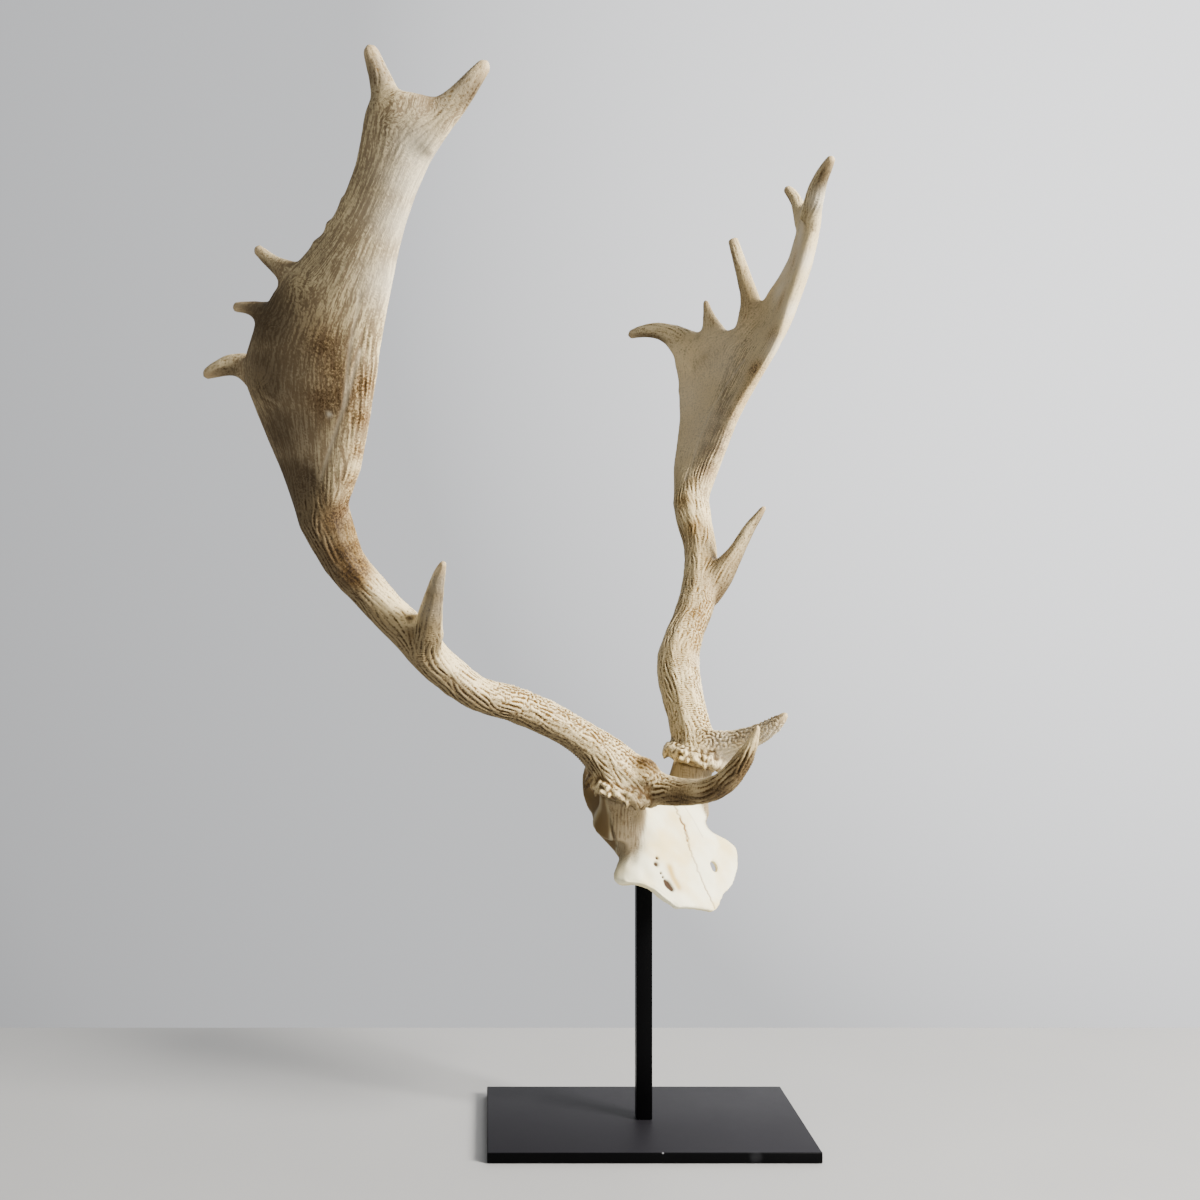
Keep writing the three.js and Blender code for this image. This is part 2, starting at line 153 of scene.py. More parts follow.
# %% A material's tree
class Paint:
    """A material that is built node by node."""

    def __init__(self, name):
        self.material = bpy.data.materials.new(name)
        self.material.use_nodes = True
        self.tree = self.material.node_tree
        self.shader = self.tree.nodes["Principled BSDF"]

    def node(self, kind, settings=None, inputs=(), out=0):
        """Adds a node: its settings first, then its sockets by place or by name."""
        node = self.tree.nodes.new(kind)
        for key, value in (settings or {}).items():
            if key == "stops":
                set_stops(node.color_ramp, value)
            else:
                setattr(node, key, value)
        pairs = inputs.items() if isinstance(inputs, dict) else enumerate(inputs)
        for key, value in pairs:
            self.plug(value, node.inputs[key])
        return Wire(self, node.outputs[out])

    def plug(self, value, socket):
        if isinstance(value, Wire):
            self.tree.links.new(value.socket, socket)
        else:
            socket.default_value = value

    def attribute(self, name, out="Fac"):
        return self.node("ShaderNodeAttribute", {"attribute_name": name}, out=out)

    def place(self):
        return self.node("ShaderNodeTexCoord", out="Object")

    def stretched(self, vector, scale):
        """A vector with its three parts scaled apart."""
        return self.node("ShaderNodeVectorMath", {"operation": "MULTIPLY"}, (vector, scale))

    def noise(self, vector, scale, detail=3.0, roughness=0.5):
        inputs = {"Vector": vector, "Scale": scale, "Detail": detail, "Roughness": roughness}
        return self.node("ShaderNodeTexNoise", inputs=inputs)

    def spot(self, centre, radius):
        """1 near a point in millimetres, fading to 0 at a radius."""
        places = (self.place(), [part * MM for part in centre])
        gap = self.node("ShaderNodeVectorMath", {"operation": "DISTANCE"}, places, out="Value")
        return 1 - self.ramp(gap, radius * 0.4 * MM, radius * MM)

    def ramp(self, value, low, high):
        """0 below low, 1 above high, and an eased step between them."""
        inputs = {"Value": value, "From Min": low, "From Max": high}
        return self.node("ShaderNodeMapRange", {"interpolation_type": "SMOOTHSTEP"}, inputs)

    def blend(self, mask, under, over, mode="MIX"):
        """Lays one colour over another where the mask is 1."""
        settings = {"data_type": "RGBA", "blend_type": mode}
        sockets = {0: mask, 6: under, 7: over}
        return self.node("ShaderNodeMix", settings, sockets, out=2)

    def bump(self, height, distance, strength):
        inputs = {"Height": height, "Distance": distance, "Strength": strength}
        return self.node("ShaderNodeBump", inputs=inputs)

    def finish(self, **sockets):
        """Feeds the shader. An underscore in a name stands for a space."""
        for name, value in sockets.items():
            self.plug(value, self.shader.inputs[name.replace("_", " ")])
        print("material:", self.material.name, "with", len(self.tree.nodes), "nodes")
        return self.material


def set_stops(ramp, stops):
    """Sets a colour ramp's stops: each has a place from 0 to 1 and a colour."""
    while len(ramp.elements) < len(stops):
        ramp.elements.new(0.5)
    for element, (place, colour) in zip(ramp.elements, stops):
        element.position, element.color = place, colour


def shade(red, green, blue):
    """A colour from its 0 to 255 screen values."""
    return (*(((value / 255 + 0.055) / 1.055) ** 2.4 for value in (red, green, blue)), 1.0)


# %% [markdown]
# ## Floor and sky
# A plain pale floor carries the shadow, and a sky with one bright side does what a big window
# would: it lights softly and gives the rounded forms a light side and a dark one. The sky's ramp
# runs over the angle from its bright side, so it needs no picture.


# %% Floor
FLOOR_ACROSS = (-3.0, 3.0)
FLOOR_ALONG = (-2.5, 0.24)


def make_floor():
    paint = Paint("pale_floor")
    grain = paint.noise(paint.place(), 6.0, detail=4.0)
    tone = paint.blend(grain, shade(162, 161, 159), shade(171, 170, 167))
    paint.finish(Base_Color=tone, Roughness=0.8)
    mesh = bpy.data.meshes.new("floor")
    (left, right), (front, back) = FLOOR_ACROSS, FLOOR_ALONG
    corners = [(left, front, 0), (right, front, 0), (right, back, 0), (left, back, 0)]
    mesh.from_pydata(corners, [], [(0, 1, 2, 3)])
    mesh.materials.append(paint.material)
    return placed("floor", mesh)


make_floor()


# %% Sky, brightest on the right and behind
SKY_BRIGHT_SIDE = (0.62, 0.72, 0.30)
SKY_STOPS = [
    (0.0, (0.04, 0.04, 0.042, 1)),
    (0.5, (0.13, 0.132, 0.138, 1)),
    (0.70, (0.58, 0.585, 0.60, 1)),
    (0.86, (0.80, 0.81, 0.83, 1)),
    (1.0, (2.0, 2.01, 2.05, 1)),
]


def make_sky():
    world = bpy.data.worlds.new("sky")
    world.use_nodes = True
    tree = world.node_tree
    coordinates = tree.nodes.new("ShaderNodeTexCoord")
    towards = tree.nodes.new("ShaderNodeVectorMath")
    towards.operation = "DOT_PRODUCT"
    towards.inputs[1].default_value = Vector(SKY_BRIGHT_SIDE).normalized()
    share = tree.nodes.new("ShaderNodeMapRange")
    share.inputs["From Min"].default_value = -1.0
    ramp = tree.nodes.new("ShaderNodeValToRGB")
    set_stops(ramp.color_ramp, SKY_STOPS)
    tree.links.new(coordinates.outputs["Generated"], towards.inputs[0])
    tree.links.new(towards.outputs["Value"], share.inputs["Value"])
    tree.links.new(share.outputs[0], ramp.inputs[0])
    tree.links.new(ramp.outputs[0], tree.nodes["Background"].inputs["Color"])
    return world


bpy.context.scene.world = make_sky()
print("sky stops:", len(SKY_STOPS))

# %% [markdown]
# ## Mesh helpers
# The skins are worked on as tables of numbers, which is far quicker than moving points one by one.
# A `Skin` holds a mesh as arrays: its points, its faces and the pairs of neighbours. A value per
# point, such as a groove's height, can be blurred over the surface by averaging neighbours. When a
# skin is done, Decimate joins the faces that matter least, and every point is held inside the box
# of the solids that the skin stands for, so the object keeps its true size.


# %% Meshes from the frame
WELD = 0.005 * MM
MOST_TRIANGLES = 190_000


def to_mesh(solid, name):
    """A plain mesh from a bmesh, which is then given up."""
    mesh = bpy.data.meshes.new(name)
    solid.to_mesh(mesh)
    solid.free()
    return mesh


def welded_copy(node, swell=0.0):
    """A CAD node's mesh with its loose triangles joined, moved out by "swell"."""
    solid = bmesh.new()
    solid.from_mesh(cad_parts[node].data)
    bmesh.ops.remove_doubles(solid, verts=solid.verts, dist=WELD)
    solid.normal_update()
    for vert in solid.verts:
        vert.co += swell * vert.normal
    return to_mesh(solid, node + "_copy")


def joined(meshes, name):
    """Several meshes as one object."""
    pool = bmesh.new()
    for mesh in meshes:
        pool.from_mesh(mesh)
        bpy.data.meshes.remove(mesh)
    return placed(name, to_mesh(pool, name))


def apply_modifiers(thing):
    """Turns what the modifiers make into the object's own mesh."""
    graph = bpy.context.evaluated_depsgraph_get()
    mesh = bpy.data.meshes.new_from_object(thing.evaluated_get(graph))
    thing.modifiers.clear()
    old = thing.data
    thing.data = mesh
    bpy.data.meshes.remove(old)
    mesh.name = thing.name


def remesh(thing, voxel):
    """One closed skin round all that overlaps."""
    modifier = thing.modifiers.new("one_skin", "REMESH")
    modifier.mode = "VOXEL"
    modifier.voxel_size = voxel
    apply_modifiers(thing)


def triangle_count(thing):
    thing.data.calc_loop_triangles()
    return len(thing.data.loop_triangles)


def thin_out(thing):
    """Joins the faces that matter least, until the piece is light enough."""
    triangles = triangle_count(thing)
    if triangles > MOST_TRIANGLES:
        modifier = thing.modifiers.new("thin_out", "DECIMATE")
        modifier.ratio = MOST_TRIANGLES / triangles
        apply_modifiers(thing)


def finish_piece(thing, nodes, material):
    """Gives a piece its material and smooth shading, hangs it under the root, and hides its solids.
    """
    thing.data.materials.clear()
    thing.data.materials.append(material)
    thing.data.shade_smooth()
    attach(thing, "root")
    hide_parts(*nodes)


# %% A skin as arrays
class Skin:
    """A mesh as arrays, to blur values over it and to move its points."""

    def __init__(self, thing):
        self.thing = thing
        mesh = thing.data
        self.points = np.empty(len(mesh.vertices) * 3)
        mesh.vertices.foreach_get("co", self.points)
        self.points = self.points.reshape(-1, 3)
        self.count = len(self.points)
        pairs = np.empty(len(mesh.edges) * 2, int)
        mesh.edges.foreach_get("vertices", pairs)
        pairs = pairs.reshape(-1, 2)
        self.start = np.concatenate([pairs[:, 0], pairs[:, 1]])
        self.end = np.concatenate([pairs[:, 1], pairs[:, 0]])
        self.degree = np.maximum(np.bincount(self.start, minlength=self.count), 1)
        mesh.calc_loop_triangles()
        self.triangles = np.empty(len(mesh.loop_triangles) * 3, int)
        mesh.loop_triangles.foreach_get("vertices", self.triangles)
        self.triangles = self.triangles.reshape(-1, 3)

    def around(self, values):
        """The mean of each point's neighbours."""
        if values.ndim == 1:
            total = np.bincount(self.start, values[self.end], self.count)
            return total / self.degree
        return np.stack([self.around(column) for column in values.T], 1)

    def blur(self, values, rounds):
        for _ in range(rounds):
            values = 0.5 * values + 0.5 * self.around(values)
        return values

    def normals(self):
        a, b, c = (self.points[self.triangles[:, corner]] for corner in range(3))
        faces = np.cross(b - a, c - a)
        total = np.zeros_like(self.points)
        for corner in range(3):
            for axis in range(3):
                column = np.bincount(self.triangles[:, corner], faces[:, axis], self.count)
                total[:, axis] += column
        return unit(total)

    def hollows(self, rounds):
        """How deep each point lies between its surroundings, in metres."""
        return ((self.blur(self.points, rounds) - self.points) * self.normals()).sum(1)

    def relax(self, share, rounds):
        """Evens out wide facets, by a share per point. It shrinks thin parts a little."""
        for _ in range(rounds):
            pull = self.around(self.points) - self.points
            self.points = self.points + 0.5 * share[:, None] * pull

    def smooth(self, rounds, shrink=0.50, swell=-0.52):
        """Evens out facets. Each step in is followed by a step out, so thin tips don't shrink."""
        for _ in range(rounds):
            for amount in (shrink, swell):
                self.points = self.points + amount * (self.around(self.points) - self.points)

    def lift(self, height, normals):
        """Moves every point along its normal by its own height."""
        self.points = self.points + height[:, None] * normals

    def keep_inside(self, nodes):
        """Holds every point inside the box of the solids that this skin stands for."""
        corners = np.array([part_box(node) for node in nodes])
        self.points = np.clip(self.points, corners[:, 0].min(0), corners[:, 1].max(0))

    def store(self):
        self.thing.data.vertices.foreach_set("co", self.points.ravel())
        self.thing.data.update()

    def save(self, name, values):
        """Keeps a value per point on the mesh, for the material to read."""
        kind = "FLOAT" if values.ndim == 1 else "FLOAT_VECTOR"
        layer = self.thing.data.attributes.new(name, kind, "POINT")
        layer.data.foreach_set("value" if values.ndim == 1 else "vector", values.ravel())


def lighten(thing, nodes):
    """Thins a skin out, and holds what is left inside the box of its solids."""
    thin_out(thing)
    skin = Skin(thing)
    skin.keep_inside(nodes)
    skin.store()


# %% Values over a skin
def unit(vectors):
    """Vectors of length 1."""
    return vectors / np.maximum(np.linalg.norm(vectors, axis=-1, keepdims=True), 1e-12)


def near(points, places, reach):
    """1 at given places in millimetres, fading to 0 over a distance."""
    gap = np.full(len(points), np.inf)
    for place in places:
        gap = np.minimum(gap, np.linalg.norm(points - np.array(place) * MM, axis=1))
    return np.exp(-((gap / (reach * MM)) ** 2))


def near_line(points, places, reach):
    """1 along a line through given places in millimetres, fading to 0 over a distance."""
    gap = np.full(len(points), np.inf)
    stops = np.array(places) * MM
    for one, other in zip(stops[:-1], stops[1:]):
        span = other - one
        share = np.clip((points - one) @ span / (span @ span), 0, 1)
        gap = np.minimum(gap, np.linalg.norm(points - one - share[:, None] * span, axis=1))
    return np.exp(-((gap / (reach * MM)) ** 2))


def step(values, low, high):
    """0 below low, 1 above high, and an eased step between them."""
    share = np.clip((values - low) / (high - low), 0, 1)
    return share * share * (3 - 2 * share)


def gathered(points, spots):
    """The sum of several marks, each with its strength, its reach and its places."""
    return sum(amount * near(points, places, reach) for amount, reach, places in spots)


def uneven(points, size, seed, waves=14):
    """A soft random field, about -1 to 1, that changes over a distance in millimetres."""
    chance = np.random.default_rng(seed)
    turns = chance.normal(size=(waves, 3)) * math.pi / (size * MM)
    shifts = chance.uniform(0, 2 * math.pi, waves)
    return np.sin(points @ turns.T + shifts).sum(1) / math.sqrt(waves)


# %% [markdown]
# ## The antlers' routes
# Antler grows from the burr outwards, and its grooves, which held the blood vessels of the velvet,
# follow that growth: along the beam, out into each tine, and fanned across the palm. So each antler
# needs a field of directions. It comes from the same routes that the solids were lofted along,
# repeated here in millimetres. A branch is a list of stations x, y, z and half width, and the palm
# is a list of chords from its front edge to its back edge.
#
# The rest describes what time did to this antler, and where shade and light are painted on it.
# Stains, tans, the patches of painted shade and the patches of painted light and paler bleached
# bone are rows of strength, reach and places, and a strength below 0 takes a mark away. Veins,
# rugged and pearly stretches are lines. A lump is a height and a place, and `sleek` says how
# smooth the palm's face is worn.

# %% Routes, in millimetres
RIGHT = {
    "side": "right",
    "sleek": 0.0,
    "burr": {"at": (-24, -58, 266), "up": (0.32, -0.12, 0.94), "radius": 25},
    "stains": [
        (0.9, 15, [(-216, -216, 550), (-211, -210, 537), (-209, -203, 523), (-218, -199, 521)]),
        (0.85, 8, [(-193, -206, 529), (-196, -196, 509), (-199, -187, 492), (-204, -178, 475)]),
        (1.0, 11, [(-208, -165, 462), (-207, -155, 448), (-204, -152, 436), (-202, -152, 424)]),
        (0.8, 10, [(-206, -158, 416), (-214, -164, 430), (-216, -170, 450)]),
        (0.7, 12, [(15, -86, 262), (39, -102, 268), (55, -110, 285)]),
        (1.0, 9, [(-46, -62, 270)]),
        (1.0, 7, [(-3, -72, 287), (-9, -73, 288)]),
    ],
    "tans": [
        (0.9, 30, [(-252, -200, 563), (-247, -192, 534), (-243, -179, 506), (-258, -191, 553)]),
        (0.9, 24, [(-238, -165, 470), (-232, -160, 450), (-222, -150, 425)]),
        (0.8, 12, [(-179, -270, 690), (-150, -275, 672), (-134, -275, 680)]),
    ],
    # Painted shade: patches darkened where shade falls on this antler.
    "painted_shades": [
        (1.0, 28, [(-262, -195, 570), (-258, -185, 540), (-252, -170, 506), (-245, -160, 480)]),
        (1.0, 16, [(-236, -158, 458), (-231, -165, 470), (-226, -162, 452), (-226, -150, 432)]),
        (0.5, 24, [(-222, -205, 545), (-222, -195, 520)]),
        (0.8, 17, [(15, -80, 264), (39, -98, 268), (52, -106, 286)]),
        (0.5, 22, [(-235, -210, 575), (-215, -225, 600), (-192, -250, 640), (-188, -260, 668)]),
        (0.6, 14, [(-128, -84, 326), (-150, -100, 345), (-172, -115, 365), (-200, -130, 400)]),
        (0.6, 11, [(-163, -135, 385), (-157, -150, 395), (-154, -164, 406)]),
        (0.9, 9, [(-46, -62, 268)]),
        (0.6, 7, [(-3, -72, 287), (-9, -73, 288)]),
        (0.9, 12, [(-14, -80, 264)]),
        (0.7, 12, [(-226, -172, 450), (-223, -166, 438), (-217, -161, 427), (-211, -156, 417)]),
    ],
    # Painted light, and paler bleached bone: patches made paler on this antler.
    "bleach_and_lights": [
        (0.9, 16, [(-169, -250, 613), (-163, -261, 632), (-176, -233, 584), (-158, -265, 645)]),
        (1.0, 1.6, [(-216, -196, 513)]),
        (0.3, 11, [(-156, -155, 400), (-150, -172, 415)]),
    ],
    "veins": [
        [(-224, -179, 475), (-217, -187, 492), (-206, -201, 518), (-195, -217, 547)],
        [(-206, -201, 518), (-201, -217, 547), (-193, -234, 578)],
    ],
    "rugged": [
        [
            (-208, -156, 452), (-211, -181, 475), (-195, -186, 499), (-190, -198, 521),
            (-188, -215, 550),
        ],
    ],
    "lumps": [(1.8, (-212, -232, 617)), (1.5, (-203, -239, 629)), (1.0, (-220, -226, 608))],
    "pearly": [
        [(0, -72, 284), (-22, -66, 300), (-50, -74, 316), (-85, -80, 336), (-112, -88, 345)],
    ],
    "branches": {
        "beam": [
            (-22, -60, 276, 18), (-48, -66, 301, 12), (-82, -74, 321, 12), (-128, -95, 338, 11),
            (-172, -126, 380, 12), (-213, -146, 426, 13), (-225, -156, 455, 17),
        ],
        "trez": [(-161, -124, 372, 11), (-154, -160, 402, 6), (-147, -181, 423, 2)],
        "brow": [
            (2, -66, 268, 11), (31, -88, 269, 8), (51, -104, 287, 7), (58, -109, 300, 5),
            (63, -112, 316, 1.5),
        ],
        "point_1": [(-256, -165, 536, 12), (-277, -157, 551, 8), (-301, -152, 546, 3)],
        "point_2": [(-249, -190, 571, 10), (-264, -185, 580, 5), (-276, -181, 582, 3)],
        "point_3": [(-229, -211, 588, 10), (-248, -204, 602, 5), (-259, -200, 612, 3)],
        "point_4": [(-172, -262, 660, 12), (-178, -263, 683, 8), (-185, -265, 703, 4)],
        "point_5": [(-158, -268, 652, 10), (-137, -273, 671, 8), (-121, -277, 689, 4)],
    },
    "palm": [
        ((-212, -165, 458), (-238, -148, 452)),
        ((-200, -179, 481), (-251, -150, 485)),
        ((-191, -195, 516), (-266, -156, 519)),
        ((-184, -212, 548), (-273, -170, 551)),
        ((-176, -229, 580), (-249, -201, 586)),
        ((-167, -245, 612), (-213, -230, 615)),
        ((-153, -259, 641), (-194, -252, 644)),
        ((-138, -269, 662), (-188, -263, 668)),
    ],
}

LEFT = {
    "side": "left",
    "sleek": 0.9,
    "burr": {"at": (39, -6, 285), "up": (0.22, -0.08, 0.97), "radius": 24},
    "stains": [
        (0.7, 9, [(141, 92, 690), (131, 99, 660), (122, 101, 631), (111, 110, 605)]),
        (0.5, 10, [(86, 100, 440), (70, 106, 440)]),
        (0.2, 12, [(80, -35, 300), (96, -50, 316)]),
        (0.5, 6, [(60, 141, 513), (68, 142, 522), (74, 142, 540), (79, 140, 557), (86, 138, 573)]),
        (0.6, 8, [(53, 138, 495), (60, 128, 470)]),
        (0.7, 8, [(77, 138, 522), (84, 133, 539), (89, 128, 553), (94, 122, 567), (100, 118, 579)]),
        (0.5, 8, [(104, 114, 592), (108, 116, 605)]),
        (0.35, 20, [(45, 50, 365), (50, 80, 390), (66, 100, 415), (66, 131, 455)]),
        (0.4, 40, [(88, 160, 623), (64, 175, 590), (104, 149, 660), (75, 155, 560)]),
    ],
    "tans": [
        (0.35, 18, [(80, -35, 300), (96, -50, 316)]),
        (0.7, 20, [(50, 80, 390), (66, 100, 415), (80, 103, 430), (66, 131, 455)]),
    ],
    # Painted shade on the palm, and a negative patch that takes painted shade off the brow tine.
    "painted_shades": [
        (0.3, 14, [(48, 158, 520), (52, 150, 505), (70, 100, 415)]),
        (-0.9, 14, [(76, -32, 301), (92, -46, 314)]),
    ],
    # Painted light, and paler bleached bone: patches made paler on this antler.
    "bleach_and_lights": [
        (1.0, 9, [(147, 44, 726), (143, 68, 685), (136, 85, 648), (125, 97, 620)]),
        (0.9, 11, [(140, 109, 706), (136, 114, 690), (131, 111, 672), (138, 85, 712)]),
        (0.8, 9, [(49, 30, 330), (46, 50, 352)]),
        (0.9, 12, [(58, -26, 294), (76, -32, 301), (88, -42, 308)]),
        (0.55, 34, [(88, 160, 623), (64, 175, 590), (75, 155, 560)]),
        (1.0, 1.6, [(150, 45, 726)]),
    ],
    "veins": [
        [(55, 146, 514), (69, 153, 550), (82, 151, 581), (92, 146, 598), (105, 133, 617)],
    ],
    "rugged": [[(57, 131, 486), (69, 141, 522), (80, 139, 557), (92, 142, 593), (104, 140, 627)]],
    "lumps": [(1.0, (58, 186, 600)), (0.8, (56, 187, 585))],
    "pearly": [
        [(54, -12, 300), (48, 12, 322), (48, 40, 348), (54, 66, 376), (64, 92, 402)],
        [(60, -20, 300), (96, -50, 320)],
    ],
    "branches": {
        "beam": [
            (42, -10, 279, 18), (36, 21, 320, 15), (36, 60, 360, 16), (55, 94, 400, 14),
            (66, 131, 455, 13), (61, 151, 497, 16),
        ],
        "trez": [(77, 104, 426, 11), (92, 98, 450, 6), (112, 88, 484, 2)],
        "brow": [(50, -13, 293, 12), (74, -30, 301, 8), (92, -46, 314, 5), (97, -50, 320, 2)],
        "point_1": [(75, 180, 630, 20), (50, 191, 653, 11), (14, 207, 657, 4)],
        "point_2": [(87, 168, 636, 16), (82, 176, 663, 7), (79, 179, 680, 2)],
        "point_3": [(113, 142, 645, 16), (113, 147, 672, 9), (99, 155, 729, 5)],
        "point_4": [(142, 60, 714, 11), (145, 44, 737, 7), (150, 22, 751, 3)],
        "point_5": [(146, 90, 722, 9), (143, 101, 743, 5), (136, 109, 758, 3)],
    },
    "palm": [
        ((73, 144, 500), (48, 160, 497)),
        ((82, 141, 524), (50, 171, 529)),
        ((94, 124, 564), (56, 181, 573)),
        ((109, 112, 593), (55, 188, 611)),
        ((124, 97, 620), (55, 189, 640)),
        ((129, 88, 640), (106, 155, 652)),
        ((134, 80, 658), (125, 134, 674)),
        ((140, 69, 683), (141, 118, 701)),
        ((145, 54, 711), (145, 99, 729)),
    ],
}


# %% The field of directions
def places(stations):
    """Where the stations are, without their half widths."""
    return [station[:3] for station in stations]


FALLOFF = 6  # how fast a route's pull fades with the distance from it
SOFTEST = 0.02  # keeps the pull finite on the route itself
POINT_PULL = 0.4  # a point of the palm turns the growth less than the palm does
BRANCH_START = 0.05  # how much further on each branch's own coordinates begin
STRETCH = 0.09  # how much slower the fibres change along the growth than across it
PALM_WIDTH = 85 * MM
PALM_REACH = 9 * MM


def smooth_route(stations, steps=8):
    """More stations along a smooth curve through the given ones."""
    rows = np.array(stations, float)
    ends = np.vstack([2 * rows[0] - rows[1], rows, 2 * rows[-1] - rows[-2]])
    route = []
    for index in range(len(rows) - 1):
        a, b, c, d = ends[index : index + 4]
        for t in np.arange(steps) / steps:
            bend = (2 * a - 5 * b + 4 * c - d) * t**2 + (3 * b - a - 3 * c + d) * t**3
            route.append(0.5 * (2 * b + (c - a) * t + bend))
    return np.array([*route, rows[-1]])


def nearest_branch(antler, points):
    """Direction, weight and own coordinates of each point from the branches' routes."""
    heading = np.zeros_like(points)
    flow = np.zeros_like(points)
    weight = np.zeros(len(points))
    for number, (name, stations) in enumerate(antler["branches"].items()):
        route = smooth_route(stations)
        centres, radii = route[:, :3] * MM, route[:, 3] * MM
        travel = unit(np.gradient(centres, axis=0))
        steps = np.linalg.norm(np.diff(centres, axis=0), axis=1)
        walked = np.concatenate([[0], np.cumsum(steps)]) + number * BRANCH_START
        gaps = np.linalg.norm(points[:, None] - centres, axis=2) / radii
        best = gaps.argmin(1)
        pull = 1 / (gaps.min(1) ** FALLOFF + SOFTEST)
        if name.startswith("point"):
            pull *= POINT_PULL
        offset = points - centres[best]
        offset -= (offset * travel[best]).sum(1, keepdims=True) * travel[best]
        heading += pull[:, None] * travel[best]
        flow += pull[:, None] * (offset + walked[best, None] * STRETCH)
        weight += pull
    return heading, flow, weight


def on_palm(antler, points):
    """Direction of the fan, weight and own coordinates of each point from the palm's chords."""
    fronts = smooth_route([front for front, _ in antler["palm"]]) * MM
    backs = smooth_route([back for _, back in antler["palm"]]) * MM
    gap = np.full(len(points), np.inf)
    across = np.zeros(len(points))
    chord = np.zeros(len(points), int)
    for index, (front, back) in enumerate(zip(fronts, backs)):
        span = back - front
        share = np.clip((points - front) @ span / (span @ span), 0, 1)
        reach = np.linalg.norm(points - front - share[:, None] * span, axis=1)
        closer = reach < gap
        gap[closer], across[closer], chord[closer] = reach[closer], share[closer], index
    fan = unit(np.gradient(fronts, axis=0))[chord] * (1 - across[:, None])
    fan += unit(np.gradient(backs, axis=0))[chord] * across[:, None]
    steps = np.linalg.norm(np.diff(fronts, axis=0), axis=1)
    walked = np.concatenate([[0], np.cumsum(steps)])[chord]
    flow = np.stack([across * PALM_WIDTH, np.zeros(len(points)), walked * STRETCH], 1)
    return unit(fan), flow, 1 / ((gap / PALM_REACH) ** FALLOFF + SOFTEST)


def growth(antler, points):
    """The field of growth: its direction, the palm's share, and coordinates along the grain."""
    heading, flow, weight = nearest_branch(antler, points)
    fan, palm_flow, pull = on_palm(antler, points)
    total = weight + pull
    return {
        "heading": unit(heading + pull[:, None] * fan),
        "flow": (flow + pull[:, None] * palm_flow) / total[:, None],
        "palm": pull / total,
    }


# %% [markdown]
# ## Grooves and pearls
# Drawing hundreds of wandering grooves by hand would never look grown. Instead the pattern is grown
# on the skin itself: it starts as random noise, which is blurred along the direction of growth and
# then has its wider blur taken away, again and again. What survives are ridges of one width that
# follow the growth, wander, fork and join. With less blur along the way the ridges break up into
# pearls, as they do on the fronts of the beams and on the brow tines.


# %% Steps along the growth
STRIDE = 1.8 * MM


class Walk:
    """For each point, the points a small step ahead and behind along the direction of growth."""

    def __init__(self, skin, heading):
        tree = KDTree(skin.count)
        for index, point in enumerate(skin.points):
            tree.insert(point, index)
        tree.balance()
        ahead = skin.points + STRIDE * heading
        behind = skin.points - STRIDE * heading
        self.ahead = np.array([tree.find(place)[1] for place in ahead])
        self.behind = np.array([tree.find(place)[1] for place in behind])

    def blur(self, values, rounds):
        for _ in range(rounds):
            values = 0.4 * values + 0.3 * (values[self.ahead] + values[self.behind])
        return values


# %% Grown ridges
GROWTH_TURNS = 14


def grown_ridges(skin, walk, grain, seed, width_rounds):
    """Ridges from -1 to 1. Where grain is 1 they run long, and where it is 0 they are pearls."""
    values = np.random.default_rng(seed).normal(size=skin.count)
    for _ in range(GROWTH_TURNS):
        fine = skin.blur(values, 2)
        drawn = walk.blur(fine, 3)
        fine = fine + grain * (drawn - fine)
        wide = skin.blur(fine, width_rounds)
        values = fine - wide
        values = np.tanh(values / (1.2 * values.std()))
    return skin.blur(values, 1)


# %% [markdown]
# ## The burr
# The burr is a collar of bony pearls where the antler meets its stalk. It repeats along a ring, so
# it is a job for Geometry Nodes: points on a circle, a pearl on each, its size and place varied by
# a seeded random value, made real, and given its material. Four such rings, one above the other and
# each a little further in, make the collar. The pearls are then fused into the skin.


# %% A tree of nodes for a ring of pearls
SMALLEST_PEARL = (0.5, 0.5, 0.5)
LARGEST_PEARL = (1.45, 1.45, 1.7)


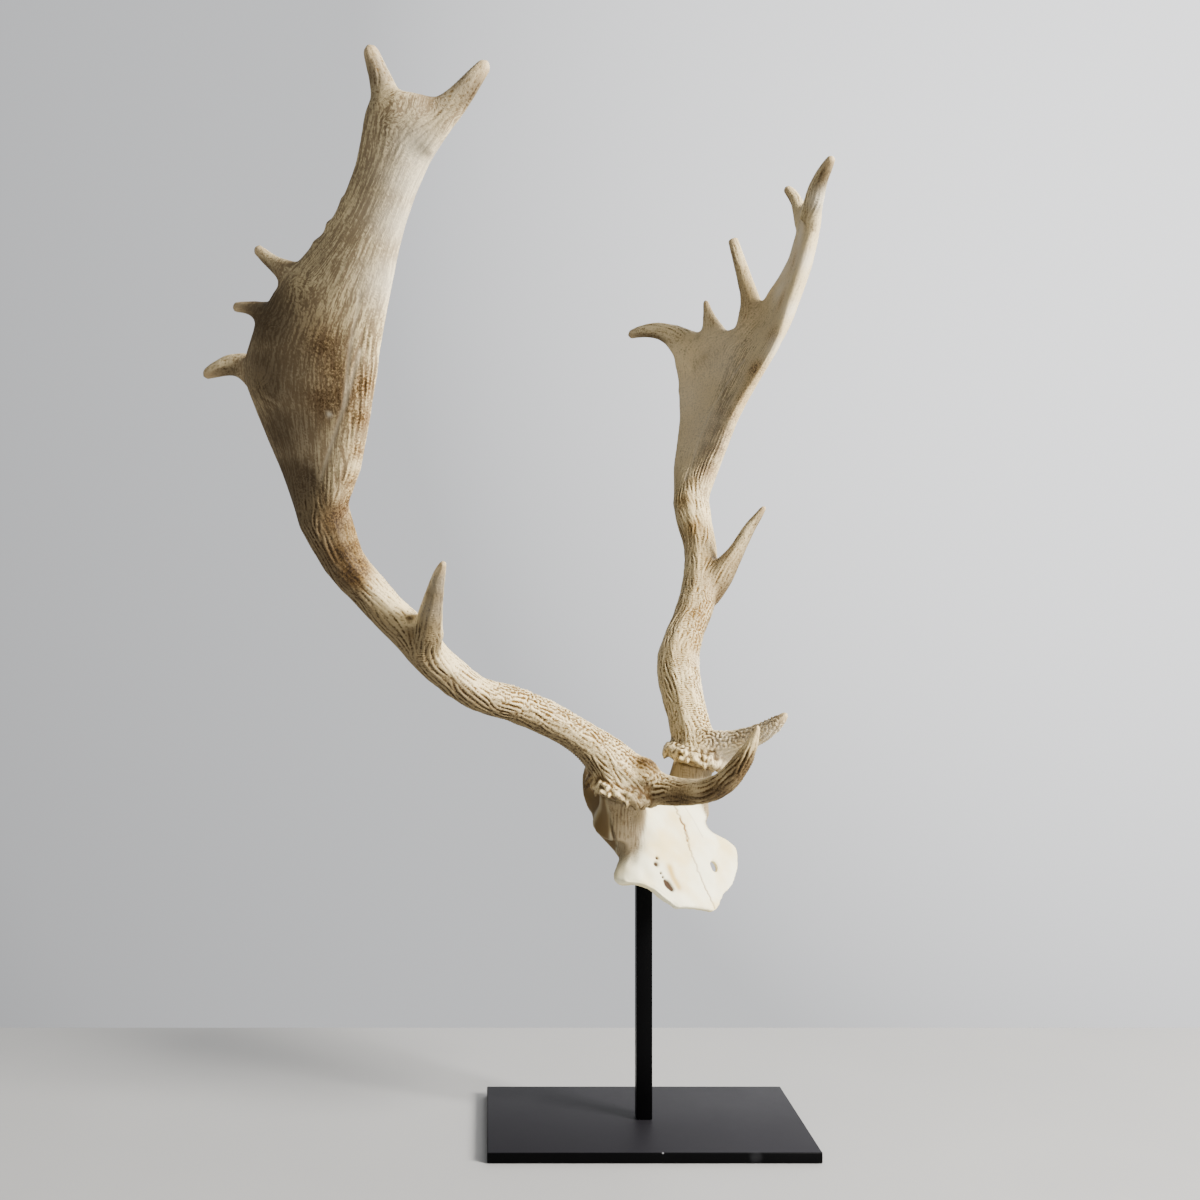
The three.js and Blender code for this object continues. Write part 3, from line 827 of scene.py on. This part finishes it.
def pearl_ring_tree():
    """The tree, with its sizes as named inputs."""
    tree = bpy.data.node_groups.new("ring_of_pearls", "GeometryNodeTree")
    tree.interface.new_socket("Geometry", in_out="OUTPUT", socket_type="NodeSocketGeometry")
    for name, kind in (
        ("Radius", "Float"), ("Count", "Int"), ("Pearl", "Float"), ("Scatter", "Float"),
        ("Seed", "Int"), ("Material", "Material"),
    ):
        tree.interface.new_socket(name, in_out="INPUT", socket_type="NodeSocket" + kind)

    def add(kind, inputs=(), **settings):
        node = tree.nodes.new(kind)
        for key, value in settings.items():
            setattr(node, key, value)
        for key, value in dict(inputs).items():
            if isinstance(value, bpy.types.NodeSocket):
                tree.links.new(value, node.inputs[key])
            else:
                node.inputs[key].default_value = value
        return node

    given = add("NodeGroupInput").outputs
    circle = add("GeometryNodeMeshCircle", {"Vertices": given["Count"], "Radius": given["Radius"]})
    reach = add("ShaderNodeMath", {0: given["Scatter"], 1: -1.0}, operation="MULTIPLY")
    jitter = add("FunctionNodeRandomValue", {"Seed": given["Seed"]}, data_type="FLOAT_VECTOR")
    centred = {0: jitter.outputs[0], 1: (0.5, 0.5, 0.5)}
    spread = add("ShaderNodeVectorMath", centred, operation="SUBTRACT")
    scaled = add("ShaderNodeVectorMath", {0: spread.outputs[0]}, operation="SCALE")
    tree.links.new(reach.outputs[0], scaled.inputs["Scale"])
    shifted = {"Geometry": circle.outputs[0], "Offset": scaled.outputs[0]}
    moved = add("GeometryNodeSetPosition", shifted)
    ball = add("GeometryNodeMeshIcoSphere", {"Radius": given["Pearl"], "Subdivisions": 3})
    size = add("FunctionNodeRandomValue", {"Seed": given["Seed"]}, data_type="FLOAT_VECTOR")
    size.inputs["Min"].default_value = SMALLEST_PEARL
    size.inputs["Max"].default_value = LARGEST_PEARL
    pearls = add("GeometryNodeInstanceOnPoints", {
        "Points": moved.outputs[0], "Instance": ball.outputs[0], "Scale": size.outputs[0],
    })
    real = add("GeometryNodeRealizeInstances", {"Geometry": pearls.outputs[0]})
    coated = {"Geometry": real.outputs[0], "Material": given["Material"]}
    coat = add("GeometryNodeSetMaterial", coated)
    tree.links.new(coat.outputs[0], add("NodeGroupOutput").inputs[0])
    return tree


PEARL_RING = pearl_ring_tree()
print("pearl ring:", len(PEARL_RING.nodes), "nodes")


# %% Pearls round one burr
def pearl_ring(burr, height, radius, count, pearl, seed, material):
    """A ring of pearls as a plain mesh, square to the burr's axis."""
    ring = placed("pearls", bpy.data.meshes.new("pearls"))
    modifier = ring.modifiers.new("pearls", "NODES")
    modifier.node_group = PEARL_RING
    values = {
        "Radius": radius * MM, "Count": count, "Pearl": pearl * MM, "Scatter": 1.1 * pearl * MM,
        "Seed": seed, "Material": material,
    }
    for item in PEARL_RING.interface.items_tree:
        if item.in_out == "INPUT":
            modifier[item.identifier] = values[item.name]
    apply_modifiers(ring)
    turn = Vector(burr["up"]).to_track_quat("Z", "Y").to_matrix().to_4x4()
    turn.translation = Vector(burr["at"]) * MM + Vector(burr["up"]).normalized() * height * MM
    ring.data.transform(turn)
    mesh = ring.data.copy()
    bpy.data.objects.remove(ring)
    return mesh


# %% [markdown]
# ## Antler finish
# Old antler is ivory on its crests, where it was rubbed, and brown in its grooves, where dirt and
# sap stay. One way to paint it is by hand, another is a material that reads values from the skin,
# and the second follows the grooves exactly. So the skin carries, per point, the ridges' height, a
# stain for the browner places, a tone for the tan ones, painted shade for the undersides and the
# places in shade, painted light for the lit edges and faces and for paler bleached bone, a polish
# for the tips, the veins' lines and a darker brown for the creases and the burr's hollows. The
# material mixes its colours from them, and adds fibres too fine for the mesh, stretched along the
# growth.

# %% Antler colours
# Each pair is one colour, from its light end to its dark one.
IVORY = shade(249, 230, 182), shade(233, 207, 150)
TAN = shade(200, 183, 149), shade(174, 154, 119)
GROOVE = shade(124, 92, 38), shade(90, 66, 26)
BROWN = shade(94, 66, 22), shade(64, 44, 16)
TIP = shade(210, 188, 148), shade(176, 146, 102)
PALM_GROOVE = shade(160, 141, 110)
STAIN_WASH = shade(196, 152, 78)
STAIN_BROWN = shade(130, 100, 42)
VEIN_CREAM = shade(220, 204, 172)
# Painted shade: the wash that darkens the places in shade.
SHADE_WASH = shade(121, 113, 102)
# Painted light, and bleached bone: the cream of the paler places.
BLEACH_AND_LIGHT = shade(240, 228, 200)


# %% Antler material
def antler_paint():
    """Crests and grooves, then marks of age, painted shade and painted light, one over the other.
    """
    paint = Paint("antler")
    pearly, stain = paint.attribute("pearly"), paint.attribute("stain")
    polish, palm = paint.attribute("polish"), paint.attribute("palm")
    sleek = paint.attribute("sleek")
    place = paint.place()
    fibre = paint.noise(paint.attribute("flow", "Vector"), 900.0, detail=3.0, roughness=0.65)
    cloud = paint.noise(place, 38.0, detail=3.0)
    pores = paint.noise(place, 620.0, detail=2.0)
    specks = paint.noise(place, 760.0, detail=2.0)

    grain = (fibre - 0.5) * (2.2 + palm * 1.4) + paint.attribute("streak") * (0.25 + palm * 0.5)
    grain = grain * (1 - sleek * 0.75) + sleek * 0.55
    crest = paint.attribute("ridge") + grain + (pores - 0.5) * 1.4 + (cloud - 0.5) * 0.6
    raised = paint.ramp(crest - pearly * 0.55 - palm * 0.4, -0.75, 0.22)

    ivory, tan = paint.blend(cloud, *IVORY), paint.blend(cloud, *TAN)
    crests = paint.blend(paint.attribute("tone"), ivory, tan)
    grooves = paint.blend(palm * 0.72, paint.blend(cloud, *GROOVE), PALM_GROOVE)
    colour = paint.blend(raised, grooves, crests)

    brown = paint.blend(cloud, *BROWN)
    flecks = paint.ramp(specks * 0.6 + fibre * 0.4 + stain * 0.09, 0.56, 0.60)
    colour = paint.blend(stain * 0.5, colour, STAIN_WASH, mode="MULTIPLY")
    colour = paint.blend(stain * (1 - palm) * 0.8, colour, STAIN_BROWN)
    colour = paint.blend(flecks * stain * 0.9, colour, brown)
    colour = paint.blend(paint.attribute("vein") * 0.6, colour, VEIN_CREAM)
    # Painted shade: darker on the undersides and the places in shade.
    colour = paint.blend(paint.attribute("dusk") * 0.9, colour, SHADE_WASH, mode="MULTIPLY")
    # Painted light, and bleached bone: paler on the lit edges and faces.
    colour = paint.blend(paint.attribute("pale") * 0.65, colour, BLEACH_AND_LIGHT)
    colour = paint.blend(polish * 0.75, colour, paint.blend(cloud, *TIP))
    # A darker brown in the creases and in the burr's hollows.
    colour = paint.blend(paint.attribute("dirt") * 0.92, colour, brown)

    rough = 0.7 - raised * 0.12 - polish * 0.14
    normal = paint.bump(fibre * 0.5 + pores * 0.5, 0.55 * MM, strength=0.85)
    return paint.finish(Base_Color=colour, Roughness=rough, Specular_IOR_Level=0.22, Normal=normal)


ANTLER = antler_paint()

# %% [markdown]
# ## One antler
# The forks of a real antler are filled and round, while solids that only touch meet at a crease.
# So the four solids are swelled until they overlap well, a coarse voxel remesh makes one skin of
# them, smoothing evens it out, and the skin is drawn in again by the same amount, which leaves the
# forks filled. The pearls join in a second, finer remesh. Sculpting could do this too, but it would
# have to be done again after every change to the solids.

# %% Skins
VOXEL = 0.68 * MM
ROUGH_VOXEL = 1.3 * MM
SWELL = 0.32 * MM  # closes the gap between two solids
FILLET = 2.5 * MM  # swelled by this much more, and drawn in again
SHRUNK = 0.45 * MM  # left standing, because smoothing shrinks
ANTLER_PARTS = ("beam", "palm", "trez_tine", "brow_tine")
# Each row of pearls: height on the burr, inset, count, size of a pearl (mm) and seed.
PEARL_ROWS = [
    (-1.6, 0.6, 44, 2.5, 11), (0.6, 0.9, 52, 2.6, 12), (3.0, 2.0, 40, 2.7, 14),
    (5.6, 5.0, 26, 2.3, 13),
]


def antler_skin(antler):
    """The four solids and the burr's pearls as one closed skin."""
    side, burr = antler["side"], antler["burr"]
    thing = joined([welded_copy(f"{side}_{part}", SWELL + FILLET) for part in ANTLER_PARTS], "core")
    remesh(thing, ROUGH_VOXEL)
    core = Skin(thing)
    core.smooth(12)
    tips = places(stops[-1] for name, stops in antler["branches"].items() if name != "beam")
    core.relax(1 - near(core.points, tips, 12), 24)
    roots = places(stops[0] for name, stops in antler["branches"].items() if name[:5] == "point")
    core.relax(near(core.points, roots, 12), 16)
    core.points = core.points - (FILLET - SHRUNK) * core.normals()
    core.smooth(8)
    core.store()
    meshes = [thing.data.copy()]
    bpy.data.objects.remove(thing)
    for height, inset, count, pearl, seed in PEARL_ROWS:
        radius = burr["radius"] - inset
        meshes.append(pearl_ring(burr, height, radius, count, pearl, seed, ANTLER))
    thing = joined(meshes, f"{side}_antler")
    remesh(thing, VOXEL)
    return thing


def above_burr(antler, points):
    """How high each point lies above the middle of the burr, along the burr's axis."""
    burr = antler["burr"]
    return (points - np.array(burr["at"]) * MM) @ unit(np.array(burr["up"]))


# %% [markdown]
# ## Marks of age, and painted shade and light
# Where an antler is rough, worn, stained or dirty follows from its life: rough low down and
# polished at the tips. Painted shade darkens it underneath, and it is a darker brown in the creases
# and the burr's hollows. Those marks are worked out from the skin's shape. The ones that chance
# made, such as a stain at the bend, come from the lists above, and so do the patches of painted
# shade and painted light.


# %% Marks on one antler
def marks(antler, skin, field):
    """Values from 0 to 1 per point: how far each mark of age, painted shade or painted light holds.
    """
    points, branches, palm = skin.points, antler["branches"], field["palm"]
    tines = {name: stops for name, stops in branches.items() if name != "beam"}
    tips = places(stops[-1] for stops in tines.values())
    smooth_ones = [stops[1:] for name, stops in tines.items() if name != "brow"]
    calm = sum(near_line(points, places(stops), 13) for stops in smooth_ones)
    lower, brow = places(branches["beam"][:4]), places(branches["brow"])
    rugged = np.clip(sum(near_line(points, line, 13) for line in antler["rugged"]), 0, 1)
    # Painted shade: 1 on the faces that look down.
    under = step(skin.blur(-skin.normals()[:, 2], 20), -0.15, 0.65)
    height = above_burr(antler, points)
    collar = 1 - step(height, 6 * MM, 10 * MM)
    tan = 0.25 * palm + 0.4 * calm + gathered(points, antler["tans"])
    found = {
        "stain": skin.blur(gathered(points, antler["stains"]), 6),
        "tone": tan * (1 - 0.6 * rugged),
        # Painted shade: the listed patches and the undersides.
        "dusk": gathered(points, antler["painted_shades"]) + 1.1 * under * (1 - palm),
        # Painted light, and bleached bone: the listed paler patches.
        "pale": gathered(points, antler["bleach_and_lights"]),
        "polish": near(points, tips, 8),
        "vein": sum(near_line(points, line, 1.3) for line in antler["veins"]),
        "calm": calm,
        "rough": np.maximum(near_line(points, lower, 30), near(points, brow, 22)),
        "burr": 1 - step(height, 1 * MM, 8 * MM),
        "pearly": sum(near_line(points, line, 17) for line in antler["pearly"]),
        # A darker brown in the creases and in the burr's hollows.
        "dirt": np.maximum(
            step(skin.hollows(10), 0.01 * MM, 0.10 * MM),
            collar * step(skin.hollows(40), -0.05 * MM, 0.38 * MM),
        ),
        "rugged": rugged,
        "sleek": antler["sleek"] * palm * (1 - rugged),
    }
    return {name: np.clip(values, 0, 1) for name, values in found.items()}


# %% Patterns on one antler
def growth_walk(skin, field, seed):
    """Steps along the growth, which sways a little from side to side."""
    normals = skin.normals()
    heading = skin.blur(field["heading"], 14)
    heading = unit(heading - (heading * normals).sum(1, keepdims=True) * normals)
    sway = 0.3 * (1 - 0.7 * field["palm"]) * uneven(skin.points, 8, seed + 5)
    heading += sway[:, None] * np.cross(normals, heading)
    return Walk(skin, unit(heading))


def patterns(antler, skin, walk, pearly, seed):
    """Coarse ridges that turn to pearls, fine ridges, and streaks: each from -1 to 1."""
    brow = near_line(skin.points, places(antler["branches"]["brow"]), 16)
    coarse = grown_ridges(skin, walk, 0.9 - 0.4 * brow, seed, width_rounds=9)
    pearls = grown_ridges(skin, walk, np.full(skin.count, 0.1), seed + 90, width_rounds=13)
    coarse = coarse + 0.8 * pearly * (pearls - coarse)
    fine = grown_ridges(skin, walk, np.full(skin.count, 0.9), seed + 50, width_rounds=6)
    streak = np.random.default_rng(seed + 70).normal(size=skin.count)
    streak = walk.blur(streak, 12) + 0.5 * walk.blur(skin.blur(streak, 3), 12)
    return coarse, fine, np.clip(streak / (2.2 * streak.std()), -1, 1)


# %% Dress one antler
COLOUR_MARKS = ("stain", "tone", "dusk", "pale", "polish", "vein", "dirt", "sleek")
LUMP_REACH = 3.5


def dress_antler(antler, seed):
    """One whole antler: its skin, its relief and the values that its material reads."""
    thing = antler_skin(antler)
    skin = Skin(thing)
    skin.smooth(5)
    skin.relax(1 - step(above_burr(antler, skin.points), 6 * MM, 10 * MM), 9)
    field = growth(antler, skin.points)
    palm = field["palm"] = skin.blur(field["palm"], 12)
    normals = skin.normals()
    walk = growth_walk(skin, field, seed)
    mark = marks(antler, skin, field)
    coarse, fine, streak = patterns(antler, skin, walk, mark["pearly"], seed)

    patchy = 0.8 + 0.3 * uneven(skin.points, 22, seed)
    bold = (1 - palm) * (0.6 + 0.4 * mark["rough"]) * (1 - 0.75 * mark["calm"])
    bold = np.maximum(bold, 0.6 * mark["rugged"] * palm)
    bold = np.clip(bold * (1 - mark["polish"]) * patchy, 0, 1)
    relief = (0.7 * bold + 0.15 * mark["pearly"] + 0.03) * coarse + (0.09 + 0.3 * bold) * fine
    relief *= 1 - 0.75 * mark["burr"]
    relief -= 0.4 * mark["vein"]
    for size, place in antler["lumps"]:
        relief += size * near(skin.points, [place], LUMP_REACH)
    skin.lift(MM * relief, normals)
    skin.store()

    fine_share = 0.3 + 0.25 * bold - 0.15 * palm
    skin.save("ridge", coarse * (0.06 + 0.94 * bold) + fine * fine_share * patchy)
    skin.save("streak", streak)
    skin.save("palm", palm)
    skin.save("pearly", mark["pearly"] * bold)
    skin.save("flow", skin.blur(field["flow"], 20))
    for name in COLOUR_MARKS:
        skin.save(name, mark[name])
    nodes = [f"{antler['side']}_{part}" for part in ANTLER_PARTS]
    lighten(thing, nodes)
    finish_piece(thing, nodes, ANTLER)
    print(thing.name, "triangles:", len(skin.triangles), "thinned to", triangle_count(thing))


dress_antler(RIGHT, SEED)
dress_antler(LEFT, SEED + 1)

# %% [markdown]
# ## Skull cap
# The cap is a piece of a real skull: smooth ivory bone in front, striped bone at the side where the
# jaw muscle lay, and a darker braincase behind. A wavy seam runs down the middle, where the two
# halves of the forehead grew together. It is made as the antlers are: one skin, evened out, with
# the seam and the muscle's stripes cut in, and a value per point for each colour. Its marks are
# drawn in the skull's own frame, because there the forehead is nearly flat.

# %% The skull's own frame
SKULL_MIDDLE = np.array((10, -30, 258)) * MM
NOSEWARD = unit(np.array((0.334, -0.309, -0.891)))
LEFTWARD = np.array((0.772, 0.632, 0.07))
LEFTWARD = unit(LEFTWARD - LEFTWARD @ NOSEWARD * NOSEWARD)
CROWN = np.cross(NOSEWARD, LEFTWARD)
SKULL_AXES = np.stack([NOSEWARD, LEFTWARD, CROWN], 1)

# Lines on the bone in its own frame, in millimetres: towards the nose, and to the deer's left.
MID_SEAM = [
    (5, 8), (11, 7), (19, 7), (26, 6), (32, 5), (37, 4), (42, 3), (49, 2.3), (56, 2), (69, 3),
    (77, 3), (91, 3.5),
]
SIDE_SEAM = [(8, 16.5), (18, 18), (26, 18), (37, 20)]
OCHRE = [(52, -24), (60, -24), (67, -22.5)]
# Small pits, each with its radius, and lenses of bone (length, width) that raise their floor.
PITS = [
    (43, -31, 1.1), (47, -34, 1.7), (54, -33, 0.8), (57, -32.5, 0.8), (60, -32, 1.1),
    (62, -31, 2.0), (64.5, -30, 1.8), (67, -29, 1.5),
]
PLUGS = [(47, -36, 3.4, 3.0), (64, -31, 5.0, 3.8)]
PLUG_DEPTH = -0.6
PLUG_THICK = 2.4

# The hole runs askew through the bone. How far its channel moves aside for each step of depth.
HOLE = (60, 21)
HOLE_SKEW = (-0.43, 0.89)
HOLE_REACH = 7 * MM
HOLE_WIDER = 1.1 * MM
DEEPEST = 9 * MM

# A crack in the braincase, and two places on the forehead's left rim with how far each is drawn
# aside, all in millimetres.
CRACK = [
    (-36, -67, 263), (-35, -66, 256), (-33, -62, 248), (-31, -60, 240), (-29, -59, 232),
    (-27, -53, 225),
]
RIM_SHIFTS = [((54, -45, 188), (-4.6, 0, 2.3)), ((64, -14, 215), (3.8, 0, 1.4))]
RIM_REACH = 10


# %% Marks on the flat of the forehead
def own_frame(points):
    """Points in the skull's own frame."""
    return (points - SKULL_MIDDLE) @ SKULL_AXES


def flat_line(own, stops, reach):
    """1 along a line on the forehead, fading to 0 over a distance. Height doesn't count."""
    return near_line(own * (1, 1, 0), [(x, y, 0) for x, y in stops], reach)


def wavy(stops, swing, seed, steps=7):
    """More stops along a line, each pushed a little to the side, as a seam in bone runs."""
    chance = np.random.default_rng(seed)
    rows = smooth_route([(*stop, 0) for stop in stops], steps)[:, :2]
    return rows + chance.uniform(-swing, swing, rows.shape) * (0.3, 1.0)


# %% [markdown]
# ## Bone finish
# Clean bone is ivory with faint yellow clouds. Where muscle was tied to it, it is brown and
# striped, and its seams and pits hold dirt. Plain colours are laid one over the other by the values
# on the skin. The brown of the pits replaces the ivory fully, because even a little of the ivory
# would shine through in strong light and turn them grey.

# %% Bone colours
CLEAN_BONE = shade(255, 248, 212), shade(246, 224, 160)
FLANK_BROWN = shade(134, 114, 82)
STRIPE_BROWN = shade(78, 56, 32)
BRAINCASE_BROWN = shade(98, 74, 40)
OCHRE_STAIN = shade(196, 158, 70)
SEAM_BROWN = shade(126, 92, 44)
PIT_BROWN = shade(58, 37, 12)


# %% Bone material
def bone_paint():
    """Ivory bone with its browner places laid over it."""
    paint = Paint("bone")
    place = paint.place()
    cloud = paint.noise(place, 30.0, detail=4.0)
    pores = paint.noise(place, 700.0, detail=2.0)
    strands = paint.noise(paint.stretched(place, (1, 1, 0.12)), 800.0, detail=2.0)
    flank = paint.attribute("flank")
    stripe = paint.attribute("stripe") * 0.8 + flank * paint.ramp(strands, 0.5, 0.65) * 0.4
    colour = paint.blend(paint.ramp(cloud, 0.42, 0.68), *CLEAN_BONE)
    colour = paint.blend(flank * 0.9, colour, FLANK_BROWN)
    colour = paint.blend(stripe.least(0.85), colour, STRIPE_BROWN)
    colour = paint.blend(paint.attribute("brain") * 0.95, colour, BRAINCASE_BROWN)
    colour = paint.blend(paint.attribute("ochre") * 0.9, colour, OCHRE_STAIN)
    colour = paint.blend(paint.attribute("seam"), colour, SEAM_BROWN)
    colour = paint.blend(paint.attribute("dirt"), colour, PIT_BROWN)
    normal = paint.bump(pores * 0.6 + cloud * 0.4, 0.2 * MM, strength=0.35)
    return paint.finish(Base_Color=colour, Roughness=0.62, Specular_IOR_Level=0.15, Normal=normal)


BONE = bone_paint()


# %% [markdown]
# ## The bone's shape
# The solid's pits are filled to a shallow floor before the remesh, its rim is drawn to its broken
# line, and the hole's channel is laid askew, as the channel of a nerve or a vein runs. Each of
# these moves points by a soft falloff, so that no edge shows where the change ends.


# %% Shape the skull cap
def plug(x, y, long, wide):
    """A flat lens of bone inside the forehead, under a pit's floor."""
    place = SKULL_MIDDLE + SKULL_AXES @ (np.array((x, y, PLUG_DEPTH)) * MM)
    columns = [*(SKULL_AXES * (np.array((long, wide, PLUG_THICK)) * MM)).T, place]
    turn = Matrix([[*row] for row in np.array(columns).T]).to_4x4()
    turn.translation = Vector(place)
    solid = bmesh.new()
    bmesh.ops.create_icosphere(solid, subdivisions=3, radius=1.0, matrix=turn)
    return to_mesh(solid, "plug")


def skewed_hole(points):
    """How far each point moves to open the hole a little and to lay its channel askew."""
    own = own_frame(points)
    apart = own[:, :2] - np.array(HOLE) * MM
    close = np.exp(-((np.linalg.norm(apart, axis=1) / HOLE_REACH) ** 2))
    depth = np.clip(-own[:, 2], 0, DEEPEST)
    aside = close[:, None] * (HOLE_WIDER * unit(apart) + depth[:, None] * np.array(HOLE_SKEW))
    return aside @ SKULL_AXES[:, :2].T


def skull_skin():
    """The skull cap as one closed, even skin."""
    thing = joined([welded_copy("skull_cap"), *(plug(*size) for size in PLUGS)], "skull_bone")
    remesh(thing, ROUGH_VOXEL)
    core = Skin(thing)
    core.smooth(12)
    reach = (core.points - SKULL_MIDDLE) @ NOSEWARD
    core.relax(1 - step(reach, 28 * MM, 46 * MM), 16)
    core.smooth(20, swell=-0.51)
    for place, shift in RIM_SHIFTS:
        share = near(core.points, [place], RIM_REACH)
        core.points = core.points + share[:, None] * np.array(shift) * MM
    core.points = core.points + skewed_hole(core.points)
    core.store()
    remesh(thing, VOXEL)
    return thing


# %% Regions of the bone
def regions(skin, own, normals):
    """Forehead, braincase and flank: each 1 inside and 0 outside."""
    facing = normals @ SKULL_AXES
    forehead = step(facing[:, 2], 0.35, 0.7) * step(own[:, 2], -14 * MM, -6 * MM)
    brain = 1 - step(own[:, 2] + 0.65 * own[:, 0] + 2 * MM, -2.5 * MM, 2.5 * MM)
    brain *= step(0.6 * MM - own[:, 1], 20 * MM, 26 * MM)
    brain *= 0.3 + 0.7 * step(-normals[:, 1], 0.0, 0.4)
    flank = step(np.abs(facing[:, 1]), 0.3, 0.7) * step(own[:, 0], -10 * MM, 2 * MM) * (1 - brain)
    line = 26.5 * MM + 0.72 * (own[:, 0] - 16 * MM)
    beside = np.abs(own[:, 1] - 4 * MM) - 4 * MM - line
    flank = np.maximum(flank, step(beside, -2 * MM, 3 * MM) * (1 - brain))
    flank *= 1 - step(own[:, 0], 30 * MM, 46 * MM)
    return forehead, brain, skin.blur(flank, 4)


def seams_and_pits(points, own):
    """Seam and dirt: 1 in the line of a seam, and in a pit."""
    bend = 0.6 * uneven(points, 9, SEED)
    seam = flat_line(own, wavy(MID_SEAM, 0.9, SEED), 0.75) * (0.75 + 0.25 * bend)
    seam += 0.3 * flat_line(own, SIDE_SEAM, 0.6)
    seam += 0.7 * flat_line(own, wavy(MID_SEAM[2:6], 1.7, SEED + 3, 4), 0.8)
    flat = own * (1, 1, 0)
    dirt = np.clip(1.7 * sum(near(flat, [(x, y, 0)], radius) for x, y, radius in PITS), 0, 1)
    return np.clip(seam, 0, 1), dirt * step(own[:, 2], -9 * MM, -5 * MM)


def muscle_stripes(skin, normals):
    """Fine ridges that run down the side of the bone, from -1 to 1."""
    down = np.tile(NOSEWARD * 0.8 - CROWN * 0.6, (skin.count, 1))
    down -= (down * normals).sum(1, keepdims=True) * normals
    walk = Walk(skin, unit(down))
    stripe = grown_ridges(skin, walk, np.full(skin.count, 0.85), SEED + 9, width_rounds=3)
    return stripe * (0.65 + 0.35 * uneven(skin.points, 12, SEED + 4))


# %% Dress the skull cap
def dress_skull():
    """The whole skull cap: its skin, its relief and the values that its material reads."""
    thing = skull_skin()
    skin = Skin(thing)
    skin.smooth(6)
    own, normals = own_frame(skin.points), skin.normals()
    forehead, brain, flank = regions(skin, own, normals)
    seam, dirt = seams_and_pits(skin.points, own)
    crack = near_line(skin.points, CRACK, 1.1)
    stripe = muscle_stripes(skin, normals)
    deep = np.clip(0.45 * forehead * seam + 0.9 * crack + 1.1 * dirt, 0, 1.2)
    skin.lift(-MM * deep, normals)
    skin.lift(0.5 * MM * forehead * (uneven(skin.points, 17, SEED) - 0.8), normals)
    skin.lift(0.2 * MM * flank * stripe, normals)
    skin.store()
    skin.save("seam", forehead * seam)
    skin.save("dirt", np.clip(dirt + 0.8 * crack, 0, 1))
    skin.save("ochre", forehead * flat_line(own, OCHRE, 3.2))
    skin.save("stripe", flank * np.clip(-stripe, 0, 1))
    skin.save("flank", flank)
    skin.save("brain", skin.blur(brain, 6))
    lighten(thing, ["skull_cap"])
    finish_piece(thing, ["skull_cap"], BONE)
    print("skull triangles:", triangle_count(thing))


dress_skull()

# %% [markdown]
# ## Stand
# The stand is plain steel in a satin black powder coat. Its solids have the right shape, but knife
# edges look false, because real steel is always broken a little at its edges and catches a line of
# light there. So both pieces are made again from their boxes, with small rounded bevels. Black
# shows every speck: a grey film that stands for dust and for painted sheen lies on the faces that
# look up, the front edge has a chip and a smudge, and each of these is a soft spot in the material.

# %% Colours and marks of the coat
BLACK = shade(2, 2, 3), shade(10, 10, 10)
# Dust and painted sheen: the grey of the faces that look up.
DUST_AND_SHEEN_GREY = shade(33, 32, 35)
# Each mark: its place and radius in millimetres, and its colour.
CHIP = (5.7, -65, 8), 1.1, shade(128, 128, 130)
SPECK = (-20, 24.5, 8), 0.9, shade(2, 2, 3)
SMUDGE = (72, -65, 5), 6, shade(46, 46, 48)


# %% Powder coat
def coat_paint():
    """Black with a fine orange peel, a grey film of dust and painted sheen on top, and three marks.
    """
    paint = Paint("satin_black")
    place = paint.place()
    peel = paint.noise(place, 900.0, detail=2.0)
    dust = paint.noise(place, 14.0, detail=5.0, roughness=0.65)
    colour = paint.blend(paint.ramp(dust, 0.45, 0.8) * 0.35, *BLACK)
    # Dust and painted sheen: grey on the faces that look up.
    colour = paint.blend(paint.attribute("dust") * (0.85 + dust * 0.3), colour, DUST_AND_SHEEN_GREY)
    centre, radius, tint = SMUDGE
    smudge = paint.spot(centre, radius) * paint.ramp(dust, 0.4, 0.6) * 0.4
    colour = paint.blend(smudge, colour, tint)
    for centre, radius, tint in (CHIP, SPECK):
        colour = paint.blend(paint.spot(centre, radius), colour, tint)
    normal = paint.bump(peel, 0.08 * MM, strength=0.4)
    rough = 0.34 + dust * 0.16
    return paint.finish(Base_Color=colour, Roughness=rough, Specular_IOR_Level=0.05, Normal=normal)


COAT = coat_paint()


# %% Bevelled steel
def steel_piece(node, name, bevel):
    """A block as large as a node's box, with rounded edges."""
    low, high = (Vector(corner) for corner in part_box(node))
    solid = bmesh.new()
    bmesh.ops.create_cube(solid, size=1.0)
    size = high - low
    for vert in solid.verts:
        vert.co = Vector((vert.co[axis] + 0.5) * size[axis] + low[axis] for axis in range(3))
    thing = placed(name, to_mesh(solid, name))
    round_off = thing.modifiers.new("round_off", "BEVEL")
    round_off.width, round_off.segments = bevel, 3
    apply_modifiers(thing)
    skin = Skin(thing)
    # Dust and painted sheen: 1 on the faces that look up.
    skin.save("dust", step(skin.normals()[:, 2], 0.8, 0.95))
    finish_piece(thing, [node], COAT)
    thing.data.set_sharp_from_angle(angle=math.radians(40))
    print(name, "triangles:", triangle_count(thing))


steel_piece("base_plate", "stand_plate", 0.9 * MM)
steel_piece("post", "stand_post", 0.8 * MM)
